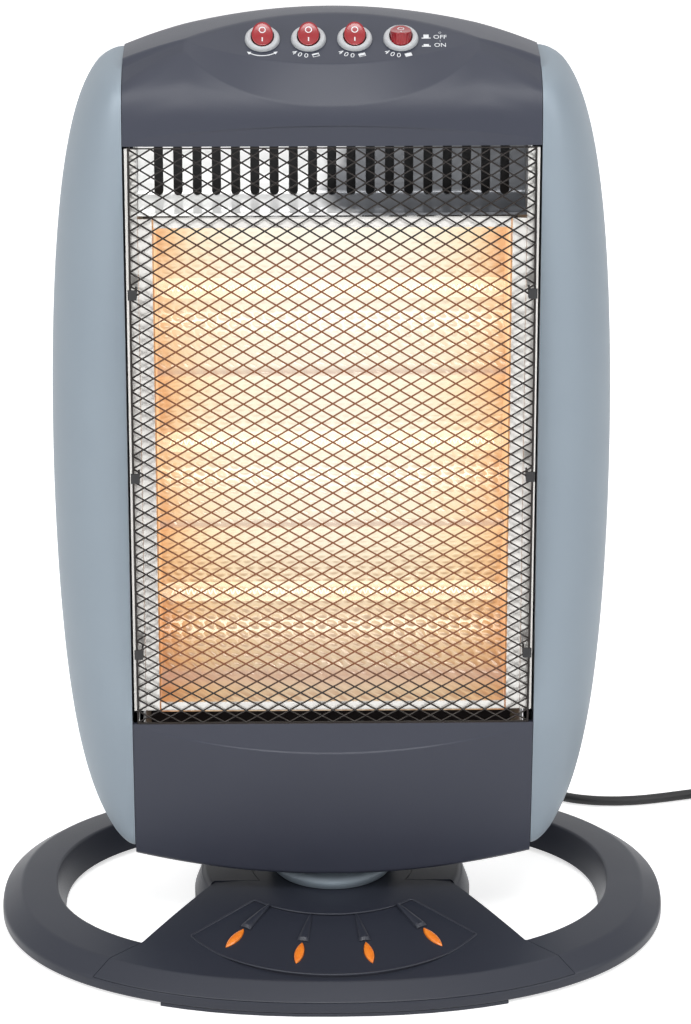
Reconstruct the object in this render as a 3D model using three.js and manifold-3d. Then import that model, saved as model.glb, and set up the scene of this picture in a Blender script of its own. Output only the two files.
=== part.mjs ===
// A free-standing halogen heater: an oval ring base with a fan-shaped front cover, a
// swinging head with three quartz lamps in a troughed reflector behind an expanded-metal
// grille, four round rocker switches on the sloping top, and a mains lead put away in a coil.
// Millimetres, +Z up, the front faces -Y. The origin is on the floor under the ring's centre.

import * as THREE from 'three';
import { mergeVertices } from 'three/addons/utils/BufferGeometryUtils.js';
import Module from 'manifold-3d';

const wasm = await Module();
wasm.setup();

// ---------------------------------------------------------------- driving dimensions

const GAP = 0.3; // clearance between pieces that touch
const WALL = 2.4; // wall of the plastic mouldings
const SHEET = 1.2; // pressed steel sheet

// ring base
const BASE_WIDTH = 350;
const BASE_DEPTH = 248;
const BASE_POWER = 2.25; // 2 is an ellipse, more is squarer
const BASE_STEPS = 56;
const FOOT_HEIGHT = 1.8;
const RIM_WALL_TOP = 7.7;
const CREASE_INSET = 10.3;
const CREASE_TOP = 15.3;
const BAND_INSET = 29;
const BAND_TOP = 18;
const RIM_INNER_DRAFT = 4.5;
const HUB_TOP = 12;
const COVER_THICKNESS = 1.6;

// fan cover on the front of the hub
const FAN_TOP = 25;
const FAN_FLAT_RADIUS = 60;
const FAN_INNER_RADIUS = 43;
const FAN_ROOT = [62, -20];
const FAN_CORNER_ANGLE = -49.9; // where the fan's side meets the rim's band
const FAN_SIDE_BULGE = 0.5;
const FAN_REACH = 1.32; // the radial seam runs on this many times the corner's radius
const WEB_HALF_WIDTH = 60;
const HUB_FRONT_INSET = 14;
const HUB_FRONT_HALF_WIDTH = 30;
const HUB_REACH = 1.12; // the hub runs on under the rim to this many times the fan corner's radius

// orange lenses set into the fan cover
const LENS_COUNT = 4;
const LENS_STEP_ANGLE = 22.5;
const LENS_RADIUS = 92;
const LENS_LENGTH = 17;
const LENS_WIDTH = 4.8;
const LENS_PROUD = 1.6;
const RIDGE_LENGTH = 20;
const RIDGE_WIDTH = 5.6;
const RIDGE_HEIGHT = 2.2;

// pedestal and turntable
const DRUM_FOOT_RADIUS = 73;
const DRUM_TOP_RADIUS = 69;
const DRUM_BEVEL = 1.8;
const SPINDLE_RADIUS = 30;
const SPINDLE_BORE = 24;
const SPINDLE_CLEARANCE = 0.6;
const DISC_RADIUS = 33.2;
const DISC_UNDERCUT = 1.8;
const DISC_HEIGHT = 7;
const NECK_RADIUS = 28;
const NECK_FLANGE = 33;
const RETAINER_WIDTH = 6;
const RETAINER_HEIGHT = 2;

// oscillation drive: a crank pin in a slotted plate
const MOTOR_OFFSET = 12;
const CRANK_THROW = 6.5;
const CRANK_RADIUS = 10;
const CRANK_HEIGHT = 2.2;
const PIN_RADIUS = 2.2;
const SLOT_PLAY = 1.7;
const MOTOR_RADIUS = 25;
const MOTOR_FLANGE = 28;
const YOKE_HEIGHT = 1.8;

// head body
const HALF_BODY = 102.5;
const FRONT_Y = -62;
const FRONT_Z = 270;
const FRONT_RADIUS = 1300;
const FRONT_PLAN_RADIUS = 1500;
const BACK_Y = 60;
const BACK_CURVE = 14;
const HEAD_BOTTOM = 38.3;
const BOTTOM_ARCH = 12.5;
const LOWER_TOP = 131;
const LOWER_BACK_TOP = 75;
const LOWER_BELLY = 80; // the front is straight from here down to the bottom edge
const BACK_SHOULDER_DROP = 28;
const UPPER_BOTTOM = 440;
const STYLE_ARC_TOP = 451;
const STYLE_ARC_DROP = 8;
const STYLE_ARC_LOW = 114;
const STYLE_RECESS = 1.6;
const LEAN_START = 452; // above this the front leans back in an arc
const LEAN_RADIUS = 29;

// control panel: a flat lens-shaped face on the sloping top
const PANEL_ANGLE = 26;
const PANEL_FRONT_Y = -35.5;
const PANEL_FRONT_Z = 478;
const PANEL_LENGTH = 36.6;
const PANEL_HALF_WIDTH = 72;
const SCOOP_BOTTOM = 460.2;
const CROWN_DROP = 18; // how much lower the top is at the sides than in the middle
const CROWN_POWER = 2.3;

// side panels
const SIDE_HALF_WIDTH = 142.2;
const SIDE_MIDDLE = 263.2;
const SIDE_REACH = 217.8;
const SIDE_FULLNESS = 0.0965;
const SIDE_WIDEST_Y = 2;
const SIDE_BOTTOM = 56;
const SIDE_TOP = 472;
const SIDE_PLAN_POWER = 2.2;

// grille
const GRILLE_SIDE_ROOM = 2.2;
const GRILLE_HALF_WIDTH = HALF_BODY - GRILLE_SIDE_ROOM;
const GRILLE_RIM = 2.4;
const GRILLE_FLANGE = 9;
const GRILLE_SETBACK = 2.5; // behind the front's middle line
const GRILLE_FLATS = 4; // level bends split the net into this many flat lengths
const NET_COLUMNS = 6;
const NET_ROWS = 16;
const STRAND_WIDTH = 1.7;
const STRAND_DEPTH = 1.5;

// reflector, lamps and frame
const FRAME_INSET = 6.5; // from the body's end face
const FRAME_X = HALF_BODY - FRAME_INSET;
const FRAME_FRONT_Y = -44;
const TROUGH_COUNT = 3;
const TROUGH_PITCH = 83.3;
const TROUGH_START = 142;
const TROUGH_RIDGE_Y = -14;
const TROUGH_DEPTH = 28;
const REFLECTOR_SHEET = 0.8;
const LIP_DROP = 6.5; // the lower lip slopes down by this much, the upper one rises
const LIP_RISE = 9.5;
const TRAY_END_INSET = 8; // from the side frame
const TRAY_END_X = FRAME_X - TRAY_END_INSET;
const LAMP_Y = -2;
const LAMP_RADIUS = 5;
const CAP_RADIUS = 7;
const CAP_INSIDE = 5.5; // how far a lamp cap stands inside its frame
const CAP_OUTSIDE = 5;
const CAP_INNER_X = FRAME_X - CAP_INSIDE;
const CAP_OUTER_X = FRAME_X + CAP_OUTSIDE;
const SHIELD_BACK_Y = -24;
const SHIELD_TOP = 446;
const VENT_COUNT = 19;
const VENT_PITCH = 9.5;
const VENT_WIDTH = 4.5;
const VENT_BOTTOM = 407.4;
const VENT_TOP = 437;
const VENT_CUT_DEPTH = 20;
const CHASSIS_Z = 64;
const CHASSIS_FRONT_Y = -32;
const CHASSIS_BACK_Y = 24;
const TERMINAL_INSET = 40; // centre of the terminal block, from the side frame
const TILT_SWITCH_INSET = 38;
const CUTOUT_X = 30;

// back cover vents
const BACK_SLOT_COUNT = 11;
const BACK_SLOT_PITCH = 14;
const BACK_SLOT_WIDTH = 5;
const BACK_SLOT_ROWS = [
  [95, 132],
  [376, 420],
];

// rocker switches
const SWITCH_COUNT = 4;
const SWITCH_PITCH = 22.6;
const SWITCH_FROM_CREASE = 17.2;
const SWITCH_BODY_RADIUS = 7.5;
const SWITCH_BODY_DEPTH = 13;
const BEZEL_RADIUS = 8.65;
const BEZEL_HEIGHT = 2.7;
const BEZEL_CHAMFER = 0.8;
const BEZEL_SIDES = 16;
const ROCKER_HALF_WIDTH = 5.2;
const ROCKER_HALF_LENGTH = 6.2;
const ROCKER_HIGH = 3.4; // the ends of its top, from its pivot
const ROCKER_DISH = 0.6; // how much lower the middle is
const ROCKER_SKIRT = -2.5; // its sides are upright down to here, from its pivot
const ROCKER_LOW = -5;
const ROCKER_FOOT_HALF_LENGTH = 5;
const ROCKER_PIVOT = 2.6; // above the panel
const ROCKER_TILT = 25;
const ROCKER_SIDES = 16;
const ROCKER_SIDE_ROOM = 0.6;
const ROCKER_SWING_ROOM = 1.3; // at each end of the bezel's opening
const ROCKER_FOOT_ROOM = 0.7; // at each end of the well below it
const ROCKER_TILT_SIGNS = [1, 1, 1, -1];

// mains lead
const CORD_RADIUS = 2.7;
const CORD_SIDES = 8;
const CORD_EXIT = [36, 146.3, 6.4];
const RELIEF_LENGTH = 24;
const RELIEF_RADIUS = 5.2;
const RELIEF_TIP_RADIUS = 3.7;
const COIL_CENTRE = [252, 89.5];
const COIL_OUTER_RADIUS = 42.3;
const COIL_STEP = 6.2; // from one turn to the next, and from one layer to the next
const COIL_TURNS_PER_LAYER = 3;
const COIL_LAYERS = 2;
const COIL_LAST_PART = 0.25; // of a turn, past the last full one
const COIL_LOOP_STEPS = 24;
const COIL_SIDES = 6;
const PLUG_X = 306;
const PLUG_REAR_Y = 47;
const PLUG_LENGTH = 36;
const PLUG_HALF_WIDTH = 17;
const PLUG_HALF_HEIGHT = 8.4;
const PLUG_PIN_LENGTH = 19;
const PLUG_PIN_RADIUS = 2.4;
const PLUG_PIN_SPACING = 19;

// ---------------------------------------------------------------- colours

const paint = (name, color, roughness, metalness) =>
  new THREE.MeshStandardMaterial({ name, color, roughness, metalness });

const DARK_PLASTIC = paint('dark_plastic', 0x484b58, 0.42, 0.0);
const BASE_PLASTIC = paint('base_plastic', 0x3c3e48, 0.45, 0.0);
const SILVER_BLUE = paint('silver_blue', 0x93a1ac, 0.35, 0.35);
const ORANGE_LENS = paint('orange_lens', 0xe87a1c, 0.25, 0.0);
const GREY_BEZEL = paint('grey_bezel', 0xb9bcbe, 0.35, 0.0);
const RED_ROCKER = paint('red_rocker', 0xb8142a, 0.25, 0.0);
const DARK_WIRE = paint('dark_wire', 0x2b2724, 0.45, 0.6);
const BRIGHT_STEEL = paint('bright_steel', 0xc9c6c0, 0.2, 1.0);
const FRAME_STEEL = paint('frame_steel', 0x8d9093, 0.45, 0.9);
const QUARTZ = paint('quartz', 0xfff0c8, 0.1, 0.0);
const CERAMIC = paint('ceramic', 0xe6e1d6, 0.6, 0.0);
const BLACK_RUBBER = paint('black_rubber', 0x141416, 0.7, 0.0);

// ---------------------------------------------------------------- geometry helpers

const radians = THREE.MathUtils.degToRad;

// A closed solid from any watertight geometry, with its faces turned outward.
function solid(geometry) {
  const bare = geometry.clone();
  bare.deleteAttribute('normal');
  bare.deleteAttribute('uv');
  const merged = mergeVertices(bare, 1e-4);
  const place = merged.attributes.position;
  const corner = (i) => new THREE.Vector3().fromBufferAttribute(place, i);
  const triangles = [];
  let volume = 0;
  for (let i = 0; i < merged.index.count; i += 3) {
    const [a, b, c] = [0, 1, 2].map((k) => merged.index.getX(i + k));
    if (a === b || b === c || c === a) continue;
    triangles.push([a, b, c]);
    volume += corner(a).dot(corner(b).cross(corner(c)));
  }
  const turned = volume < 0 ? triangles.map(([a, b, c]) => [a, c, b]) : triangles;
  const mesh = new wasm.Mesh({
    numProp: 3,
    vertProperties: new Float32Array(place.array),
    triVerts: new Uint32Array(turned.flat()),
  });
  return new wasm.Manifold(mesh);
}

function geometryOf(body) {
  const mesh = body.getMesh();
  const geometry = new THREE.BufferGeometry();
  geometry.setAttribute('position', new THREE.BufferAttribute(mesh.vertProperties, 3));
  geometry.setIndex(new THREE.BufferAttribute(mesh.triVerts, 1));
  geometry.computeVertexNormals();
  return geometry;
}

const join = (bodies) => bodies.reduce((all, body) => all.add(body));
const cut = (body, tools) => tools.reduce((rest, tool) => rest.subtract(tool), body);

const shapeOf = (outline) => new THREE.Shape(outline.map(([a, b]) => new THREE.Vector2(a, b)));

// An outline in plan, raised from one height to another.
function prism(outline, low, high) {
  const settings = { depth: high - low, bevelEnabled: false };
  return solid(new THREE.ExtrudeGeometry(shapeOf(outline), settings).translate(0, 0, low));
}

// A side outline of (y, z) points, run from one x to another.
function beam(outline, left, right) {
  const settings = { depth: right - left, bevelEnabled: false };
  const geometry = new THREE.ExtrudeGeometry(shapeOf(outline), settings);
  const turn = new THREE.Matrix4().makeBasis(
    new THREE.Vector3(0, 1, 0),
    new THREE.Vector3(0, 0, 1),
    new THREE.Vector3(1, 0, 0),
  );
  return solid(geometry.applyMatrix4(turn).translate(left, 0, 0));
}

// A profile of (radius, height) points turned about Z; it starts and ends on the axis or
// comes back to its first point.
function turned(profile, steps) {
  const points = profile.map(([radius, height]) => new THREE.Vector2(radius, height));
  if (profile[0][0] > 0) points.push(points[0].clone());
  return new THREE.LatheGeometry(points, steps).rotateX(Math.PI / 2);
}

const disc = (radius, low, high, steps) =>
  turned([[0, low], [radius, low], [radius, high], [0, high]], steps);

// Rings of equally many points joined into one skin. Each end is capped with the triangles
// of its ring, seen along the axis that its pair of axes leaves out.
function loft(rings, firstAxes, lastAxes = firstAxes) {
  const count = rings[0].length;
  const positions = rings.flat(2);
  const index = [];
  for (let r = 0; r + 1 < rings.length; r++) {
    for (let k = 0; k < count; k++) {
      const next = (k + 1) % count;
      const [a, b] = [r * count + k, r * count + next];
      index.push(a, b, b + count, a, b + count, a + count);
    }
  }
  const cap = (ring, first, axes, reversed) => {
    const flat = ring.map((p) => new THREE.Vector2(p[axes[0]], p[axes[1]]));
    const forward = THREE.ShapeUtils.area(flat) > 0;
    for (const corners of THREE.ShapeUtils.triangulateShape(flat, [])) {
      const agrees = THREE.ShapeUtils.area(corners.map((k) => flat[k])) > 0 === forward;
      const ordered = agrees === reversed ? [...corners].reverse() : corners;
      index.push(...ordered.map((k) => first + k));
    }
  };
  cap(rings[0], 0, firstAxes, true);
  cap(rings[rings.length - 1], (rings.length - 1) * count, lastAxes, false);
  const geometry = new THREE.BufferGeometry();
  geometry.setAttribute('position', new THREE.Float32BufferAttribute(positions, 3));
  geometry.setIndex(index);
  return geometry;
}

// A tube through a list of points that lie mostly level, its section square to the path.
// It sets out along X and ends along Y.
function levelTube(points, radius, sides) {
  const up = new THREE.Vector3(0, 0, 1);
  const rings = points.map((point, i) => {
    const before = points[Math.max(i - 1, 0)];
    const after = points[Math.min(i + 1, points.length - 1)];
    const ahead = new THREE.Vector3().subVectors(after, before).normalize();
    const across = new THREE.Vector3().crossVectors(ahead, up).normalize();
    const above = new THREE.Vector3().crossVectors(across, ahead);
    return Array.from({ length: sides }, (_, k) => {
      const angle = (2 * Math.PI * (k + 0.5)) / sides;
      const corner = point.clone();
      corner.addScaledVector(across, radius * Math.cos(angle));
      corner.addScaledVector(above, radius * Math.sin(angle));
      return corner.toArray();
    });
  });
  return loft(rings, [1, 2], [0, 2]);
}

// A path moved sideways by a distance to its right, with mitred corners.
function offsetPath(path, distance) {
  const normals = [];
  for (let i = 0; i + 1 < path.length; i++) {
    const [da, db] = [path[i + 1][0] - path[i][0], path[i + 1][1] - path[i][1]];
    const size = Math.hypot(da, db);
    normals.push([db / size, -da / size]);
  }
  return path.map(([a, b], i) => {
    const before = normals[Math.max(i - 1, 0)];
    const after = normals[Math.min(i, normals.length - 1)];
    const sum = [before[0] + after[0], before[1] + after[1]];
    const scale = (2 * distance) / (sum[0] ** 2 + sum[1] ** 2);
    return [a + sum[0] * scale, b + sum[1] * scale];
  });
}

// A closed outline that runs anticlockwise, drawn in by a distance.
function insetOutline(outline, distance) {
  const last = outline.length - 1;
  const around = [outline[last], ...outline, outline[0]];
  return offsetPath(around, -distance).slice(1, last + 2);
}

const mirrored = (outline) => outline.map(([a, b]) => [-a, b]).reverse();

const root = new THREE.Group();

function place(name, body, material, parent = root) {
  const geometry = body.isBufferGeometry ? body : geometryOf(body);
  const mesh = new THREE.Mesh(geometry, material);
  mesh.name = name;
  parent.add(mesh);
  return mesh;
}

// ---------------------------------------------------------------- ring base

const RIM_FOOT_INSET = BAND_INSET + RIM_INNER_DRAFT;
const RIM_BOTTOM = FOOT_HEIGHT + GAP;

// The point of the base's oval outline at an angle, drawn in from the edge.
function ovalPoint(inset, angle) {
  const [c, s] = [Math.cos(angle), Math.sin(angle)];
  const bend = (value) => Math.sign(value) * Math.abs(value) ** (2 / BASE_POWER);
  return [(BASE_WIDTH / 2 - inset) * bend(c), (BASE_DEPTH / 2 - inset) * bend(s)];
}

const stepAngle = (step) => (2 * Math.PI * step) / BASE_STEPS;

function ovalRing(inset, height) {
  return Array.from({ length: BASE_STEPS }, (_, k) => [...ovalPoint(inset, stepAngle(k)), height]);
}

// The y of the oval's rear edge at a given x.
function rearEdge(inset, x) {
  const share = Math.abs(x) / (BASE_WIDTH / 2 - inset);
  return (BASE_DEPTH / 2 - inset) * (1 - share ** BASE_POWER) ** (1 / BASE_POWER);
}

// A profile of (inset, height) points carried round the oval.
function ovalSweep(profile) {
  const rings = [...profile, profile[0]].map(([inset, height]) => ovalRing(inset, height));
  const index = [];
  for (let r = 0; r < profile.length; r++) {
    for (let k = 0; k < BASE_STEPS; k++) {
      const next = (k + 1) % BASE_STEPS;
      const [a, b] = [r * BASE_STEPS + k, r * BASE_STEPS + next];
      index.push(a, b, b + BASE_STEPS, a, b + BASE_STEPS, a + BASE_STEPS);
    }
  }
  const geometry = new THREE.BufferGeometry();
  geometry.setAttribute('position', new THREE.Float32BufferAttribute(rings.flat(2), 3));
  geometry.setIndex(index);
  return solid(geometry);
}

const fanCorner = ovalPoint(BAND_INSET, radians(FAN_CORNER_ANGLE));
const fanMiddle = FAN_ROOT.map((value, k) => (value + fanCorner[k]) / 2 + FAN_SIDE_BULGE * (1 - 2 * k));
const fanSide = [FAN_ROOT, fanMiddle, fanCorner];
const fanSeamEnd = fanCorner.map((value) => value * FAN_REACH);

function arc(radius, from, to, steps) {
  return Array.from({ length: steps + 1 }, (_, k) => {
    const angle = radians(from + ((to - from) * k) / steps);
    return [radius * Math.cos(angle), radius * Math.sin(angle)];
  });
}

// Fan outline, anticlockwise: out along the right side, across the front, back along the
// left side and round the turntable.
function fanOutline() {
  const right = [...fanSide, fanSeamEnd];
  const front = [[fanSeamEnd[0], -BASE_DEPTH], [-fanSeamEnd[0], -BASE_DEPTH]];
  const reach = Math.asin(FAN_ROOT[1] / FAN_INNER_RADIUS);
  const from = -180 - THREE.MathUtils.radToDeg(reach);
  const collar = arc(FAN_INNER_RADIUS, from, -360 - from - 180, 10);
  const outline = [...collar, ...right, ...front, ...mirrored(right)];
  return THREE.ShapeUtils.area(shapeOf(outline).getPoints()) > 0 ? outline : outline.reverse();
}

// The hub that bridges the ring from front to back, in plan.
function hubOutline() {
  const webEnd = rearEdge(CREASE_INSET + WALL, WEB_HALF_WIDTH);
  const frontEnd = fanCorner.map((value) => value * HUB_REACH);
  const right = [frontEnd, fanCorner, ...arc(DRUM_FOOT_RADIUS, -36, 36, 8), [WEB_HALF_WIDTH, webEnd]];
  const frontEdge = HUB_FRONT_INSET - BASE_DEPTH / 2;
  const front = [[-HUB_FRONT_HALF_WIDTH, frontEdge], [HUB_FRONT_HALF_WIDTH, frontEdge]];
  return [...front, ...right, ...mirrored(right)];
}

const topInsets = [
  [0, RIM_WALL_TOP],
  [CREASE_INSET, CREASE_TOP],
  [BAND_INSET, BAND_TOP],
];

// The whole base filled up to the fan cover's surface, grown or shrunk by a skin.
function domedBase(skin) {
  const rings = [ovalRing(skin, 0)];
  for (const [inset, height] of topInsets) {
    const slopeInset = inset + (inset < BAND_INSET ? skin * 0.45 : 0);
    rings.push(ovalRing(inset === 0 ? skin : slopeInset, height - skin * (inset === 0 ? 0.45 : 1.05)));
  }
  const top = Array.from({ length: BASE_STEPS }, (_, k) => [
    FAN_FLAT_RADIUS * Math.cos(stepAngle(k)),
    FAN_FLAT_RADIUS * Math.sin(stepAngle(k)),
    FAN_TOP - skin,
  ]);
  rings.push(top);
  return solid(loft(rings, [0, 1]));
}

const fan = fanOutline();
const hub = hubOutline();
const fanClearance = prism(insetOutline(fan, -GAP), RIM_WALL_TOP, FAN_TOP + 5);
const motorHole = (radius, low, high) =>
  solid(disc(radius, low, high, 28).translate(0, MOTOR_OFFSET, 0));

function baseRing() {
  const rim = ovalSweep([[0, RIM_BOTTOM], ...topInsets, [RIM_FOOT_INSET, RIM_BOTTOM]]);
  const rimHollow = ovalSweep([
    [WALL, 0],
    [WALL, RIM_WALL_TOP - WALL * 0.45],
    [CREASE_INSET + WALL * 0.4, CREASE_TOP - WALL],
    [BAND_INSET - WALL * 0.3, BAND_TOP - WALL],
    [RIM_FOOT_INSET - WALL, 0],
  ]);
  const shell = join([cut(rim, [fanClearance]), prism(hub, RIM_BOTTOM, HUB_TOP)]);
  const hubHollow = prism(insetOutline(hub, WALL), 0, HUB_TOP - WALL);
  return cut(shell, [rimHollow, hubHollow, motorHole(MOTOR_RADIUS + GAP, 0, HUB_TOP + 1)]);
}

function bottomCover() {
  const top = RIM_BOTTOM + COVER_THICKNESS;
  const ring = ovalSweep([
    [WALL + GAP, RIM_BOTTOM],
    [RIM_FOOT_INSET - WALL - 3 * GAP, RIM_BOTTOM],
    [RIM_FOOT_INSET - WALL - 3 * GAP, top],
    [WALL + GAP, top],
  ]);
  return ring.add(prism(insetOutline(hub, WALL + GAP), RIM_BOTTOM, top));
}

// A rubber pad that follows the rim between two angles.
function rubberFoot(from, to, outerInset, innerInset, steps) {
  const at = (inset) =>
    Array.from({ length: steps + 1 }, (_, k) =>
      ovalPoint(inset, radians(from + ((to - from) * k) / steps)),
    );
  return prism([...at(outerInset), ...at(innerInset).reverse()], 0, FOOT_HEIGHT);
}

function lensOutline(grow) {
  const [length, width] = [LENS_LENGTH / 2 + grow, LENS_WIDTH / 2 + grow];
  const side = [-0.75, -0.4, 0, 0.4, 0.75].map((t) => [width * (1 - t * t) ** 0.9, length * t]);
  return [[0, -length], ...side, [0, length], ...mirrored(side)];
}

const lensAngles = Array.from(
  { length: LENS_COUNT },
  (_, k) => (k - (LENS_COUNT - 1) / 2) * LENS_STEP_ANGLE,
);

// The fan cover's height at a radius straight in front of the turntable.
const fanFallDistance = BASE_DEPTH / 2 - BAND_INSET - FAN_FLAT_RADIUS;
const fanFall = (FAN_TOP - BAND_TOP) / fanFallDistance;

// From a lens's own frame, with its length along Y, to its place on the fan.
function lensPlace(angle) {
  const direction = radians(angle);
  const height = fanSurface(LENS_RADIUS * Math.sin(direction), -LENS_RADIUS * Math.cos(direction));
  const turn = new THREE.Matrix4().makeRotationZ(direction);
  turn.multiply(new THREE.Matrix4().makeTranslation(0, -LENS_RADIUS, height));
  return turn.multiply(new THREE.Matrix4().makeRotationX(Math.atan(fanFall)));
}

// The height of the fan cover's top at a point between the flat middle and the rim band.
function fanSurface(x, y) {
  const angle = Math.atan2(Math.abs(y), Math.abs(x));
  const reach = 1 / ((Math.cos(angle) / (BASE_WIDTH / 2 - BAND_INSET)) ** BASE_POWER
    + (Math.sin(angle) / (BASE_DEPTH / 2 - BAND_INSET)) ** BASE_POWER) ** (1 / BASE_POWER);
  const share = (Math.hypot(x, y) - FAN_FLAT_RADIUS) / (reach - FAN_FLAT_RADIUS);
  return FAN_TOP - (FAN_TOP - BAND_TOP) * share;
}

function lensRidge(angle) {
  const half = RIDGE_WIDTH / 2;
  const outer = LENS_LENGTH / 2 + 1.2;
  const ring = [[-half, outer, -1], [half, outer, -1], [0, outer, RIDGE_HEIGHT]];
  const tip = [[-0.4, outer + RIDGE_LENGTH, -1], [0.4, outer + RIDGE_LENGTH, -1]];
  return solid(loft([ring, [...tip, [0, outer + RIDGE_LENGTH, 0.1]]], [0, 2]).applyMatrix4(lensPlace(angle)));
}

function fanPanel() {
  const skin = cut(domedBase(0).intersect(prism(fan, 0, FAN_TOP + 1)), [
    domedBase(WALL).intersect(prism(insetOutline(fan, WALL), -1, FAN_TOP + 1)),
    solid(disc(SPINDLE_RADIUS + SPINDLE_CLEARANCE, 0, FAN_TOP + 1, 36)),
    prism(insetOutline(hub, -GAP), 0, HUB_TOP + GAP),
    prism(insetOutline(fan, -5), -1, RIM_WALL_TOP + GAP),
  ]);
  const slots = lensAngles.map((angle) => lensTool(angle, GAP, -6, 4));
  return cut(skin.add(join(lensAngles.map(lensRidge))), slots);
}

function lensTool(angle, grow, low, high) {
  const settings = { depth: high - low, bevelEnabled: false };
  const geometry = new THREE.ExtrudeGeometry(shapeOf(lensOutline(grow)), settings);
  return solid(geometry.translate(0, 0, low).applyMatrix4(lensPlace(angle)));
}

// A lens stands a little proud with a crowned top.
function accentLens(angle) {
  const scaled = (share, height) => lensOutline(0).map(([x, y]) => [x * share, y * share, height]);
  const rings = [scaled(1, -WALL), scaled(1, LENS_PROUD * 0.4), scaled(0.72, LENS_PROUD * 0.85)];
  rings.push(scaled(0.3, LENS_PROUD));
  return solid(loft(rings, [0, 1]).applyMatrix4(lensPlace(angle)));
}

function buildBase() {
  place('base_ring', baseRing(), BASE_PLASTIC);
  place('base_bottom_cover', bottomCover(), BASE_PLASTIC);
  place('fan_panel', fanPanel(), BASE_PLASTIC);
  lensAngles.forEach((angle, k) => place(`accent_lens_${k + 1}`, accentLens(angle), ORANGE_LENS));
  place('front_foot', rubberFoot(242, 298, 0.6, 12, 12), BLACK_RUBBER);
  place('rear_foot_right', rubberFoot(38, 58, 2, 14, 4), BLACK_RUBBER);
  place('rear_foot_left', rubberFoot(122, 142, 2, 14, 4), BLACK_RUBBER);
}

// ---------------------------------------------------------------- pedestal and drive

const DRUM_TOP = FAN_TOP;
const DRUM_FOOT = HUB_TOP + GAP;
const MOTOR_TOP = HUB_TOP + 2.5;
const CRANK_BOTTOM = MOTOR_TOP + GAP;
const CRANK_TOP = CRANK_BOTTOM + CRANK_HEIGHT;
const YOKE_BOTTOM = CRANK_TOP + GAP;
const SPINDLE_BOTTOM = YOKE_BOTTOM + YOKE_HEIGHT + GAP;
const RETAINER_TOP = DRUM_TOP - WALL - GAP;
const DISC_BOTTOM = DRUM_TOP + GAP;
const DISC_TOP = DISC_BOTTOM + DISC_HEIGHT;
const NECK_TOP = CHASSIS_Z - GAP;

function pedestalDrum() {
  const bore = SPINDLE_RADIUS + SPINDLE_CLEARANCE;
  const drum = solid(turned([
    [bore, DRUM_TOP - WALL],
    [bore, DRUM_TOP],
    [DRUM_TOP_RADIUS - DRUM_BEVEL, DRUM_TOP],
    [DRUM_TOP_RADIUS, DRUM_TOP - DRUM_BEVEL],
    [DRUM_FOOT_RADIUS, DRUM_FOOT],
    [DRUM_FOOT_RADIUS - WALL, DRUM_FOOT],
    [DRUM_TOP_RADIUS - WALL, DRUM_TOP - WALL],
  ], 44));
  return cut(drum, [fanClearance]);
}

function motor() {
  return turned([
    [0, RIM_BOTTOM + COVER_THICKNESS + GAP],
    [MOTOR_RADIUS - GAP, RIM_BOTTOM + COVER_THICKNESS + GAP],
    [MOTOR_RADIUS - GAP, HUB_TOP + GAP],
    [MOTOR_FLANGE, HUB_TOP + GAP],
    [MOTOR_FLANGE, HUB_TOP + 1.5],
    [6, MOTOR_TOP],
    [0, MOTOR_TOP],
  ], 20).translate(0, MOTOR_OFFSET, 0);
}

function crank() {
  const plate = solid(disc(CRANK_RADIUS, CRANK_BOTTOM, CRANK_TOP, 20));
  const pin = disc(PIN_RADIUS, CRANK_BOTTOM + 0.5, SPINDLE_BOTTOM + 1, 12);
  const body = plate.add(solid(pin.translate(0, CRANK_THROW, 0)));
  return geometryOf(body).translate(0, MOTOR_OFFSET, 0);
}

// A round plate with a slot along Y in which the crank pin runs.
function yoke() {
  const half = PIN_RADIUS + SLOT_PLAY;
  const near = Math.sqrt(MOTOR_OFFSET ** 2 - CRANK_THROW ** 2) - GAP;
  const far = MOTOR_OFFSET + CRANK_THROW + GAP;
  const moved = (points, y) => points.map(([a, b]) => [a, b + y]);
  const slot = [...moved(arc(half, 0, 180, 6), far), ...moved(arc(half, 180, 360, 6), near)];
  const plate = solid(disc(SPINDLE_RADIUS - 0.5, YOKE_BOTTOM, YOKE_BOTTOM + YOKE_HEIGHT, 28));
  return cut(plate, [prism(slot, YOKE_BOTTOM - 1, YOKE_BOTTOM + YOKE_HEIGHT + 1)]);
}

function turntable() {
  return turned([
    [SPINDLE_BORE, SPINDLE_BOTTOM],
    [SPINDLE_RADIUS, SPINDLE_BOTTOM],
    [SPINDLE_RADIUS, DISC_BOTTOM],
    [DISC_RADIUS - DISC_UNDERCUT, DISC_BOTTOM],
    [DISC_RADIUS - 0.4, DISC_BOTTOM + DISC_HEIGHT * 0.35],
    [DISC_RADIUS, DISC_BOTTOM + DISC_HEIGHT * 0.6],
    [DISC_RADIUS - 1.5, DISC_TOP],
    [NECK_RADIUS, DISC_TOP + 1.5],
    [NECK_RADIUS, NECK_TOP - 5],
    [NECK_FLANGE, NECK_TOP - 2.5],
    [NECK_FLANGE, NECK_TOP],
    [SPINDLE_BORE, NECK_TOP],
  ], 28);
}

function retainer() {
  const inner = SPINDLE_RADIUS + GAP;
  const outer = inner + RETAINER_WIDTH;
  const low = RETAINER_TOP - RETAINER_HEIGHT;
  return turned([[inner, low], [outer, low], [outer, RETAINER_TOP], [inner, RETAINER_TOP]], 24);
}

function buildDrive() {
  place('pedestal_drum', pedestalDrum(), BASE_PLASTIC);
  place('oscillation_motor', motor(), FRAME_STEEL);
  place('motor_crank', crank(), CERAMIC);
  place('swing_yoke', yoke(), FRAME_STEEL);
  place('turntable', turntable(), SILVER_BLUE);
  place('turntable_retainer', retainer(), FRAME_STEEL);
}

// ---------------------------------------------------------------- head mouldings

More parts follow.
